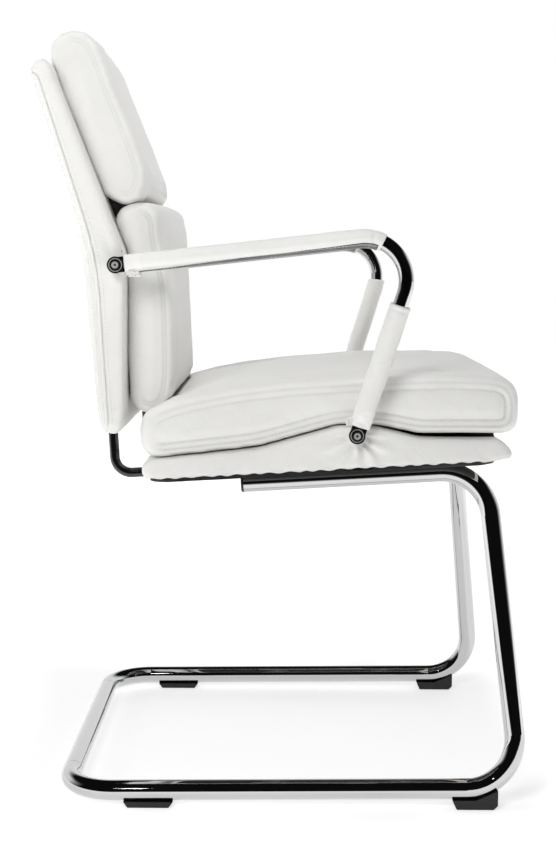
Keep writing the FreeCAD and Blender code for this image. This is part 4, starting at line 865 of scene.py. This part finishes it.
def inset_line(points, inset):
    """Move a closed line in the plane across the chair towards its inside."""
    count = len(points)
    area = sum(points[i - 1].y * points[i].z - points[i].y * points[i - 1].z for i in range(count))
    sign = 1 if area > 0 else -1
    result = []
    for i in range(count):
        ahead = points[(i + 1) % count] - points[i - 1]
        inward = Vector((0, -ahead.z, ahead.y)).normalized() * sign
        result.append(points[i] + inward * inset)
    return result


# A seam or row is a line of (point, normal) pairs on a surface
def nearest(tree, points):
    """The pairs where a surface lies nearest to the points."""
    return [tree.find_nearest(point)[:2] for point in points]


def side_seams(bm, flat, inset):
    """The seam lines of both ends of a cushion, laid on its surface from the side."""
    tree = BVHTree.FromBMesh(bm)
    seams = []
    for sign in (1, -1):
        line = rounded_line(evenly(section_line(bm, sign * flat), 0.004), 6)
        line = rounded_line(evenly(inset_line(line, inset), 0.003), 4)
        starts = [Vector((sign * 0.4, point.y, point.z)) for point in line]
        pairs = [tree.ray_cast(start, Vector((-sign, 0, 0)))[:2] for start in starts]
        seams.append([pair for pair in pairs if pair[0] is not None])
    return seams


def point_tree(lines):
    """A search tree over the points of seams."""
    points = [point for line in lines for point, normal in line]
    tree = KDTree(len(points))
    for index, point in enumerate(points):
        tree.insert(point, index)
    tree.balance()
    return tree


def painted_seam_shade_layer(bm):
    """The layer that the leather's painted seam shade reads."""
    return bm.verts.layers.float.get("seam") or bm.verts.layers.float.new("seam")


def furrowed(bm, seams, depth, width, strength_at=lambda co: 1.0):
    """Draw the surface in along seam lines and mark them for the leather's painted seam shade."""
    tree = point_tree(seams)
    layer = painted_seam_shade_layer(bm)
    bm.normal_update()
    for vert in bm.verts:
        share = hump(tree.find(vert.co)[2] / width) * strength_at(vert.co)
        if share > 0.01:
            vert[layer] = share
            vert.co -= vert.normal * depth * share
    bm.normal_update()


def near_lines(bm, seams, distance):
    """Indices of the points near any of the seams."""
    tree = point_tree(seams)
    bm.verts.index_update()
    return {vert.index for vert in bm.verts if tree.find(vert.co)[2] < distance}


def stitch_rows(name, rows, closed=True):
    """Rows of stitches, as one piece of many small threads. A gap in a row is left free."""
    sewn = sizes()
    bm = bmesh.new()
    for row in rows:
        if len(row) < 2:
            continue
        places = evenly([point for point, normal in row], sewn.stitch_pitch, closed)
        tree = point_tree([row])
        for index in range(len(places) if closed else len(places) - 1):
            here = places[index]
            ahead = places[(index + 1) % len(places)] - here
            if ahead.length > sewn.stitch_pitch * 1.5:
                continue
            ahead.normalize()
            up = row[tree.find(here)[1]][1]
            up = (up - ahead * up.dot(ahead)).normalized()
            turn = Matrix((ahead, up.cross(ahead), up)).transposed().to_4x4()
            scale = Matrix.Diagonal((sewn.stitch_length / 2, sewn.thread / 2, sewn.thread / 2, 1))
            bmesh.ops.create_icosphere(bm, subdivisions=1, radius=1.0,
                                       matrix=Matrix.Translation(here + up * sewn.thread * 0.15) @ turn @ scale)
    new_piece(name, bm, "thread")


def cushion(node, name, outlines, wide, inset, spread, strength_at, wrinkle, fill):
    """A sewn cushion grown from its plain solid: boxed ends, swell, seams, creases and stitches.
    strength_at(place) says how plain each end's double seam shows there, from 0 to 1."""
    sewn = sizes()
    bm = node_copy(node)
    boxed(bm, outlines, wide - box_depth, wide)
    bm.normal_update()
    for vert in bm.verts:
        vert.co -= vert.normal * sewn.puff * 0.35
    bm = remeshed(bm, sewn.voxel, 3)
    flat = wide - end_cut_inset
    seams = [[pair for pair in seam if strength_at(pair[0]) > 0.3] for seam in side_seams(bm, flat, inset)]
    puffed(bm, near_lines(bm, seams, pinned_distance), sewn.puff)
    bm = modified(bm, "SUBSURF", levels=1, render_levels=1)
    for vert in bm.verts:
        vert.co += wrinkle(vert.co, vert.normal)
    bm.normal_update()
    seams = side_seams(bm, flat, inset)
    surface = BVHTree.FromBMesh(bm)
    rows = [nearest(surface, inset_line([point for point, normal in seam], offset))
            for seam in seams for offset in (-spread, spread)]
    tree = point_tree(rows)
    refined(bm, lambda place: tree.find(place)[2] < sewn.seam_width * 2.2)
    furrowed(bm, rows, sewn.seam_depth, sewn.seam_width, strength_at)
    sunk = [[(point - normal * sewn.seam_depth * 0.9, normal) for point, normal in row if strength_at(point) > 0.35]
            for row in rows]
    soft_piece(name, bm, "leather", "white_leather", fill, node)
    stitch_rows(name + "_stitches", sunk, False)


def soft_creases(co, normal, depth, scale):
    """Shallow folds, as a move along the surface's normal."""
    place = Vector((co.x * scale[0], co.y * scale[1], co.z * scale[2]))
    ridge = 1 - abs(noise.noise(place)) * 2
    fine = 1 - abs(noise.noise(place * 2.3 + Vector((5, 1, 2)))) * 2
    return normal * depth * (max(ridge, 0.0) ** 3 * 0.7 + max(fine, 0.0) ** 4 * 0.3)


def gathers(co, centre, count, reach):
    """Share of the small folds that run out from a bolt or a corner on the chair's side."""
    away = Vector((0, co.y - centre.y, co.z - centre.z))
    wander = noise.noise(co * 45) * 2.2
    fold = 0.5 + 0.5 * cos(atan2(away.z, away.y) * count + wander)
    return (fold ** 2 - 0.3) * hump((away.length / reach - 0.75) / 0.55)


class CHAIR_OT_studio(bpy.types.Operator):
    """Camera, pale floor and soft studio light"""

    bl_idname = "chair.studio"
    bl_label = "Studio"

    def execute(self, context):
        scene = context.scene
        scene.view_settings.view_transform = "Standard"
        scene.camera = linked("camera", bpy.data.cameras.new("camera"))
        scene.camera.data.sensor_width = 36.0
        scene.camera.data.lens = camera_lens
        scene.camera.data.clip_start = 0.05
        turn = Matrix(((0, -1, 0), (0, 0, 1), (-1, 0, 0))) @ Matrix.Rotation(camera_yaw, 3, "Z").transposed()
        turn = Matrix.Rotation(camera_roll, 3, "Z") @ Matrix.Rotation(camera_pitch, 3, "X") @ turn
        scene.camera.matrix_world = Matrix.Translation(camera_place) @ turn.transposed().to_4x4()

        bm = bmesh.new()
        bmesh.ops.create_grid(bm, x_segments=1, y_segments=1, size=floor_half_width)
        floor = linked("floor", as_mesh("floor", bm))
        floor.location.z = -floor_drop
        floor.data.materials.append(floor_finish())

        for name, place, target, size, power, mirrored in lamps:
            data = bpy.data.lights.new(name, "AREA")
            data.shape = "DISK"
            data.size = size
            data.energy = power
            lamp = linked(name, data)
            lamp.location = place
            lamp.visible_glossy = mirrored
            lamp.rotation_euler = (Vector(target) - Vector(place)).to_track_quat("-Z", "Y").to_euler()
        scene.world = self.light_tent()
        return {"FINISHED"}

    def light_tent(self):
        """White behind the chair, grey at both ends, dark overhead and in front. Seen directly, white."""
        world = bpy.data.worlds.new("studio")
        world.use_nodes = True
        maker = NodeMaker(world.node_tree)
        x, y, z = maker.axes(maker.add("ShaderNodeTexCoord", output="Generated"))
        overhead = 1.0 - z.within(0.36, 0.60)
        wall = x.within(-0.30, 0.10) * 0.30 + x.within(0.0, 0.45) * 0.70
        seen = maker.add("ShaderNodeLightPath", output="Is Camera Ray")
        glow = 0.006 + wall * overhead * (1.0 - seen) + seen
        maker.end("ShaderNodeOutputWorld", maker.add("ShaderNodeBackground", {"Color": (1, 1, 1), "Strength": glow}))
        return world


class CHAIR_OT_finishes(bpy.types.Operator):
    """Make the finishes and give them to the frame's solids"""

    bl_idname = "chair.finishes"
    bl_label = "Finishes"

    def execute(self, context):
        # The closing strips wear chrome darkened as painted shade.
        finishes.update(
            chrome=chrome_finish("bright_chrome"), strip=chrome_finish("closing_strip", 0.0, shadowed_chrome_share),
            jointed_chrome=chrome_finish("chrome_with_joints", cross_tube_joint_spread),
            steel=steel_finish("zinc_steel"), bolt_steel=steel_finish("bolt_steel", True),
            plastic=plastic_finish("black_plastic"), washer=plastic_finish("black_washer", True),
            coat=coat_finish(), lining=lining_finish(), plywood=plywood_finish(), leather=leather_finish(),
            thread=thread_finish())
        for name, members in node_finishes.items():
            for node in members:
                mesh = nodes[node].data
                mesh.materials.clear()
                mesh.materials.append(finishes[name])
        return {"FINISHED"}


class CHAIR_OT_seat_cushion(bpy.types.Operator):
    """The loose seat cushion with its boxed and stitched sides"""

    bl_idname = "chair.seat_cushion"
    bl_label = "Seat cushion"

    def execute(self, context):
        def wrinkle(co, normal):
            share = 0.6 * smooth(0.3, 0.9, normal.z) + 0.8 * smooth(0.6, 0.95, abs(normal.x))
            return soft_creases(co, normal, sizes().crease * share, (5.0, 11.0, 13.0))

        def strength_at(co):
            reach, height = seat_place(co)
            ahead = smooth(0.182, 0.170, reach)
            return ahead * (1.0 - 0.5 * smooth(0.065, 0.075, height) * smooth(-0.235, -0.22, reach))

        cushion("seat_cushion", "seat_pad", seat_outlines(cushion_outline), cushion_half_width, cushion_seam_inset,
                sizes().row_offset, strength_at, wrinkle, 0.7)
        return {"FINISHED"}


class CHAIR_OT_back_cushions(bpy.types.Operator):
    """The lumbar and head cushions with their stitched ends"""

    bl_idname = "chair.back_cushions"
    bl_label = "Back cushions"

    def execute(self, context):
        def wrinkle(co, normal):
            share = 0.6 * smooth(0.3, 0.9, -normal.y) + 0.7 * smooth(0.6, 0.95, abs(normal.x))
            return soft_creases(co, normal, sizes().crease * share, (5.0, 14.0, 8.0))

        for node, outline, setback, top, wide, strength in back_cushions:
            def strength_at(co):
                return strength * ahead_of_middle(outline, co.y - datum_reach, co.z)

            cushion(node, node.replace("cushion", "pad"), upright_outlines(outline, setback, top), wide,
                    back_seam_inset, back_seam_spread, strength_at, wrinkle, 0.75)
        return {"FINISHED"}


class CHAIR_OT_seat_base(bpy.types.Operator):
    """The padded seat base with its stapled edge, the black cloth below and the felt above"""

    bl_idname = "chair.seat_base"
    bl_label = "Seat base"

    def execute(self, context):
        bolt = seat_bolt(seat_half_width - bolt_inset)
        bm = node_copy("seat_shell", "seat_board")
        plugged(bm, bolt)
        boxed(bm, seat_outlines(base_outline), seat_half_width - base_box_depth,
              seat_half_width - base_box_clearance)
        bm = remeshed(bm, shell_cell, 2)
        for vert in bm.verts:
            reach, height = seat_place(vert.co)
            if abs(vert.co.x) > lip_half_width and height < lip_height:
                vert.co.z += (lip_height - height) * smooth(-0.228, -0.208, reach)
            vert.co += self.fold(vert.co, vert.normal, bolt)
        bm.normal_update()
        layer = painted_seam_shade_layer(bm)
        # Painted shade in a band along the leather's stapled lower edge, through the seam layer.
        for vert in bm.verts:
            vert[layer] = 0.55 * hump((seat_place(vert.co)[1] - 0.0055) / 0.0022)
        soft_piece("seat_base_cover", bm, "leather", "white_leather", 0.6, "seat_shell")

        bm = fine_copy("underside_cover", 0.007)
        for vert in bm.verts:
            reach, height = seat_place(vert.co)
            ripple = noise.noise(Vector((vert.co.x * 70, vert.co.y * 70, 3.0)))
            edge = smooth(0.226, 0.237, abs(vert.co.x)) + smooth(-0.226, -0.240, reach) + smooth(0.182, 0.192, reach)
            vert.co.z += nap_height * ripple + 0.0055 * min(edge, 1.0) * smooth(0.0015, 0.0028, height)
        soft_piece("underside_cloth", bm, "lining", "black_fabric", 0.1, "underside_cover")
        napped_pad("seat_felt", "felt_pad", 0.006, 160, 0.2)
        return {"FINISHED"}

    def fold(self, co, normal, bolt):
        """Staple puckers along the lower edge, and folds below each arm bolt and at the corners."""
        crease = sizes().crease
        reach, height = seat_place(co)
        along = reach if abs(co.x) > 0.228 else co.x
        wave = sin(along * 2 * pi / staple_pitch + 1.6 * noise.noise(Vector((along * 30, 0, 0))))
        move = normal * (0.0009 * wave * (1 - smooth(0.004, 0.016, height)))
        move.z += 0.0020 * wave * (1 - smooth(0.003, 0.011, height)) * smooth(-0.230, -0.205, reach)
        below = smooth(0.004, -0.012, co.z - bolt.z)
        side = smooth(0.5, 0.9, abs(normal.x))
        move += normal * crease * side * gathers(co, bolt, 12, 0.030) * (0.6 + 4.0 * below)
        corner = seat_point(co.x, seat_rear_reach - 0.004, 0.006)
        move += normal * crease * 0.6 * gathers(co, corner, 9, 0.030) * smooth(0.3, 0.8, abs(normal.x))
        return move + soft_creases(co, normal, crease * 0.25, (8.0, 16.0, 26.0))


class CHAIR_OT_back(bpy.types.Operator):
    """The padded back with its rear panel, the piping on the seam between them, and the lining"""

    bl_idname = "chair.back"
    bl_label = "Back"

    def execute(self, context):
        sewn = sizes()
        bolt = rear_bolt(back_half_width - bolt_inset)
        bm = node_copy("back_shell", "back_rear_panel", "back_board")
        plugged(bm, bolt)
        bm = remeshed(bm, shell_cell, 2)
        self.round_ends(bm)
        seam = nearest(BVHTree.FromBMesh(bm), evenly(self.seam_line(), 0.003))
        heel = back_point(back_half_width, back_lowest_run + 0.004, -0.004)
        for vert in bm.verts:
            side = smooth(0.4, 0.9, abs(vert.normal.x))
            fold = sewn.crease * 1.0 * side * gathers(vert.co, bolt, 9, 0.036)
            fold += sewn.crease * 1.5 * side * gathers(vert.co, heel, 8, 0.030)
            vert.co += vert.normal * fold + soft_creases(vert.co, vert.normal, sewn.crease * 0.25, (8.0, 9.0, 14.0))
        furrowed(bm, [seam], sewn.seam_depth * 0.8, sewn.seam_width * 1.3)
        rows = self.beside(bm, seam)
        soft_piece("back_cover", bm, "leather", "white_leather", 0.5, "back_shell", "back_rear_panel")
        cord = rounded_line([point + normal * sewn.piping * 0.1 for point, normal in seam], 3)
        new_piece("back_piping", round_cord(cord, sewn.piping), "leather")
        stitch_rows("back_stitches", rows)
        napped_pad("back_lining", "lining_pad", 0.008, 120, 0.1)
        return {"FINISHED"}

    def round_ends(self, bm):
        """Full top and lower ends. The lower one hangs a little over its board."""
        low, high = (back_point(0, run, 0).z for run in (back_lowest_run, back_highest_run))
        ends = [vert for vert in bm.verts if not low + 0.022 < vert.co.z < high - 0.016]
        smoothed(bm, ends, 0.5, 8)
        middle = back_point(0, back_lowest_run, 0.006).y
        for vert in ends:
            crown = 1 - min(abs(vert.co.y - middle) / 0.018, 1.0) ** 2
            vert.co.z -= back_end_overhang * crown * smooth(low + 0.022, low + 0.002, vert.co.z)
            vert.co.z += back_end_rise * smooth(high - 0.010, high, vert.co.z)
        bm.normal_update()

    def seam_line(self):
        """The closed line round the back between its padded front and its rear panel."""
        points = []
        corners = ((1, back_lowest_run), (1, back_highest_run), (-1, back_highest_run), (-1, back_lowest_run))
        for index, (sign, run) in enumerate(corners):
            into_run = copysign(back_corner_round, -run)
            for angle in spaced(0, pi / 2, 6):
                if index in (0, 2):
                    angle = pi / 2 - angle
                points.append((sign * (back_half_width - back_corner_round * (1 - cos(angle))),
                               run + into_run * (1 - sin(angle))))
        line = []
        for (x, run), (next_x, next_run) in zip(points, points[1:] + points[:1]):
            pieces = max(int(hypot(next_x - x, next_run - run) / 0.01), 1)
            line += [back_point(x + (next_x - x) * step / pieces, run + (next_run - run) * step / pieces, 0.0)
                     for step in range(pieces)]
        return line

    def beside(self, bm, seam):
        """A row of stitches on each side of the piping."""
        ways = [(seam[(index + 1) % len(seam)][0] - seam[index - 1][0]).cross(normal).normalized()
                for index, (point, normal) in enumerate(seam)]
        offset = sizes().row_offset * 1.7
        tree = BVHTree.FromBMesh(bm)
        return [nearest(tree, [point + way * sign * offset for (point, normal), way in zip(seam, ways)])
                for sign in (-1, 1)]


class CHAIR_OT_sleeves(bpy.types.Operator):
    """The sewn leather sleeves of both arms"""

    bl_idname = "chair.sleeves"
    bl_label = "Sleeves"

    def execute(self, context):
        upper, lower, strips, rows = bmesh.new(), bmesh.new(), bmesh.new(), []
        for sign in (1, -1):
            line = ArmLine(sign)
            start, end = upper_sleeve_gap, line.bend_start + arm_bend_radius * upper_sleeve_turn
            # The sleeve's seam lies low on the side that faces away from the seat
            seam = sleeve_seam_angle_left if sign > 0 else sleeve_seam_angle_right
            push = self.upper_folds(sign, start, end, seam)
            self.sleeve(upper, line, start, end, upper_sleeve_radius, upper_sleeve_wall, upper_sleeve_end_depth, push)
            for angle in (seam - sleeve_seam_half_spread, seam + sleeve_seam_half_spread):
                runs = spaced(start + 0.006, end - 0.005, int((end - start - 0.011) / 0.003))
                rows.append([self.place(line, run, angle, upper_sleeve_radius, 0.0, upper_sleeve_end_depth, push)
                             for run in runs])
            start = line.bend_end + (lower_sleeve_start_left if sign > 0 else lower_sleeve_start_right)
            end = line.end - lower_sleeve_gap
            push = self.lower_folds(sign, start, end)
            self.sleeve(lower, line, start, end, lower_sleeve_radius, lower_sleeve_wall, lower_sleeve_end_depth, push)
            self.closing_strip(strips, line, upper_sleeve_gap + 0.012, line.bend_start + 0.024)
        self.tufts(upper, *upper_tuft)
        self.tufts(lower, *lower_tuft)
        soft_piece("upper_sleeves", upper, "leather", "sleeve_leather", 0.3, "arm_upper_sleeves")
        soft_piece("lower_sleeves", lower, "leather", "sleeve_leather", 0.6, "arm_lower_sleeves")
        stitch_rows("sleeve_stitches", rows, False)
        new_piece("sleeve_closing_strips", strips, "strip")
        return {"FINISHED"}

    def upper_folds(self, sign, start, end, seam):
        """A raised seam, small rings and a collar at the ends, and a soft wave between."""
        def push(run, angle):
            away = (angle - seam + pi) % (2 * pi) - pi
            ridge = -0.0007 * hump(away / 0.09) + 0.0004 * hump((abs(away) - 0.24) / 0.12)
            ends = hump((run - start) / 0.014) + hump((run - end) / 0.016)
            ring = 0.0005 * ends * noise.noise(Vector((run * 210, cos(angle) * 1.3, sin(angle) * 1.3)))
            soft = 0.00025 * noise.noise(Vector((run * 30, cos(angle) * 1.5 + sign, sin(angle) * 1.5)))
            collar = 0.0005 * hump((run - end + 0.012) / 0.0022) - 0.0003 * hump((run - end + 0.016) / 0.0018)
            return ridge + ring + soft - collar
        return push

    def lower_folds(self, sign, start, end):
        """A crumpled hem over a drawn-in band, rings towards the bolt, and a soft wave between."""
        def push(run, angle):
            way = Vector((cos(angle) * 2.2, sin(angle) * 2.2, 0))
            hem = hump((run - start) / 0.0055)
            crumple = 0.0009 * hem * noise.noise(way * 2.0 + Vector((0, 0, run * 420)))
            band = -0.0007 * hump((run - start - 0.0062) / 0.0014)
            rings = 0.0019 * hump((run - end) / 0.020) * noise.noise(Vector((run * 260, way.x * 0.5, way.y * 0.5)))
            soft = 0.0006 * noise.noise(Vector((run * 38, way.x * 0.7 + sign * 3, way.y * 0.7)))
            return crumple + band + rings + soft
        return push

    def place(self, line, run, angle, radius, inner, bolt_depth, push):
        """A point of a sleeve, pressed flat towards the bolt at its end, and the way out of the sleeve there."""
        centre, across, up = line.at(run)
        gap = min(run, line.end - run)
        share = min(max((gap - arm_flat_run) / (arm_flare_run - arm_flat_run), 0.0), 1.0)
        thick = bolt_depth / 2 + (radius - bolt_depth / 2) * share - inner
        wide = radius - inner
        out = across * cos(angle) + up * sin(angle)
        point = centre + across * thick * cos(angle) + up * wide * sin(angle)
        return point + (out * push(run, angle) if push else Vector()), out

    def sleeve(self, bm, line, start, end, radius, wall, bolt_depth, push):
        """A sleeve's outside and its plain inside, as one skin."""
        count = int((end - start) / ring_spacing)
        runs = spaced(start, end, count)
        stations = [(run, 0.0) for run in runs] + [(run, wall) for run in reversed(runs)]
        stations[0] = (start + 0.0001, wall * 0.35)
        stations[count] = (end - 0.0001, wall * 0.35)

        def point_at(station, angle):
            run, inner = station
            return self.place(line, run, angle, radius, inner, bolt_depth, None if inner == wall else push)[0]

        joined(bm, ring_skin(stations, 36, point_at))

    def closing_strip(self, bm, line, start, end):
        """The bright strip that closes a sleeve below; it grows wider towards the front. Its chrome is darkened as
        painted shade.
        """
        def point_at(run, angle):
            spread = radians(24 + 38 * (run - start) / (end - start))
            height = upper_sleeve_radius + strip_height + strip_half_thickness * sin(angle)
            turned = spread * cos(angle) - pi / 2
            centre, across, up = line.at(run)
            return centre + (across * cos(turned) + up * sin(turned)) * height

        runs = spaced(start, end, int((end - start) / strip_spacing))
        joined(bm, ring_skin(runs, 16, point_at, False))

    def tufts(self, bm, reach, height, length, depth):
        """A crumpled end of leather that hangs out of a sleeve, on both arms."""
        for sign in (1, -1):
            centre = Vector((sign * tuft_spread, reach + datum_reach, height))
            for vert in bmesh.ops.create_icosphere(bm, subdivisions=4, radius=1.0)["verts"]:
                way = vert.co.normalized()
                size = 1 + 0.75 * noise.noise(way * 2.6 + Vector((sign, 0, 4))) + 0.3 * noise.noise(way * 6.5)
                vert.co = centre + Vector((way.x * tuft_half_width, way.y * length, way.z * depth)) * size


class CHAIR_PT_panel(bpy.types.Panel):
    """The chair's steps, in the order in which they run."""

    bl_idname = "CHAIR_PT_panel"
    bl_label = "Padded visitor chair"
    bl_space_type = "VIEW_3D"
    bl_region_type = "UI"
    bl_category = "Chair"

    def draw(self, context):
        for operator in steps:
            self.layout.operator(operator.bl_idname)
        for group in (context.scene.chair_sizes, context.scene.chair_colours):
            for name in group.__annotations__:
                self.layout.prop(group, name)


steps = (CHAIR_OT_studio, CHAIR_OT_finishes, CHAIR_OT_seat_base, CHAIR_OT_seat_cushion, CHAIR_OT_back,
         CHAIR_OT_back_cushions, CHAIR_OT_sleeves)
classes = (ChairSizes, ChairColours) + steps + (CHAIR_PT_panel,)


def register():
    for cls in classes:
        bpy.utils.register_class(cls)
    bpy.types.Scene.chair_sizes = bpy.props.PointerProperty(type=ChairSizes)
    bpy.types.Scene.chair_colours = bpy.props.PointerProperty(type=ChairColours)


def unregister():
    del bpy.types.Scene.chair_colours
    del bpy.types.Scene.chair_sizes
    for cls in reversed(classes):
        bpy.utils.unregister_class(cls)


def main():
    register()
    for operator in steps:
        group, name = operator.bl_idname.split(".")
        getattr(getattr(bpy.ops, group), name)()


if __name__ == "__main__":
    main()
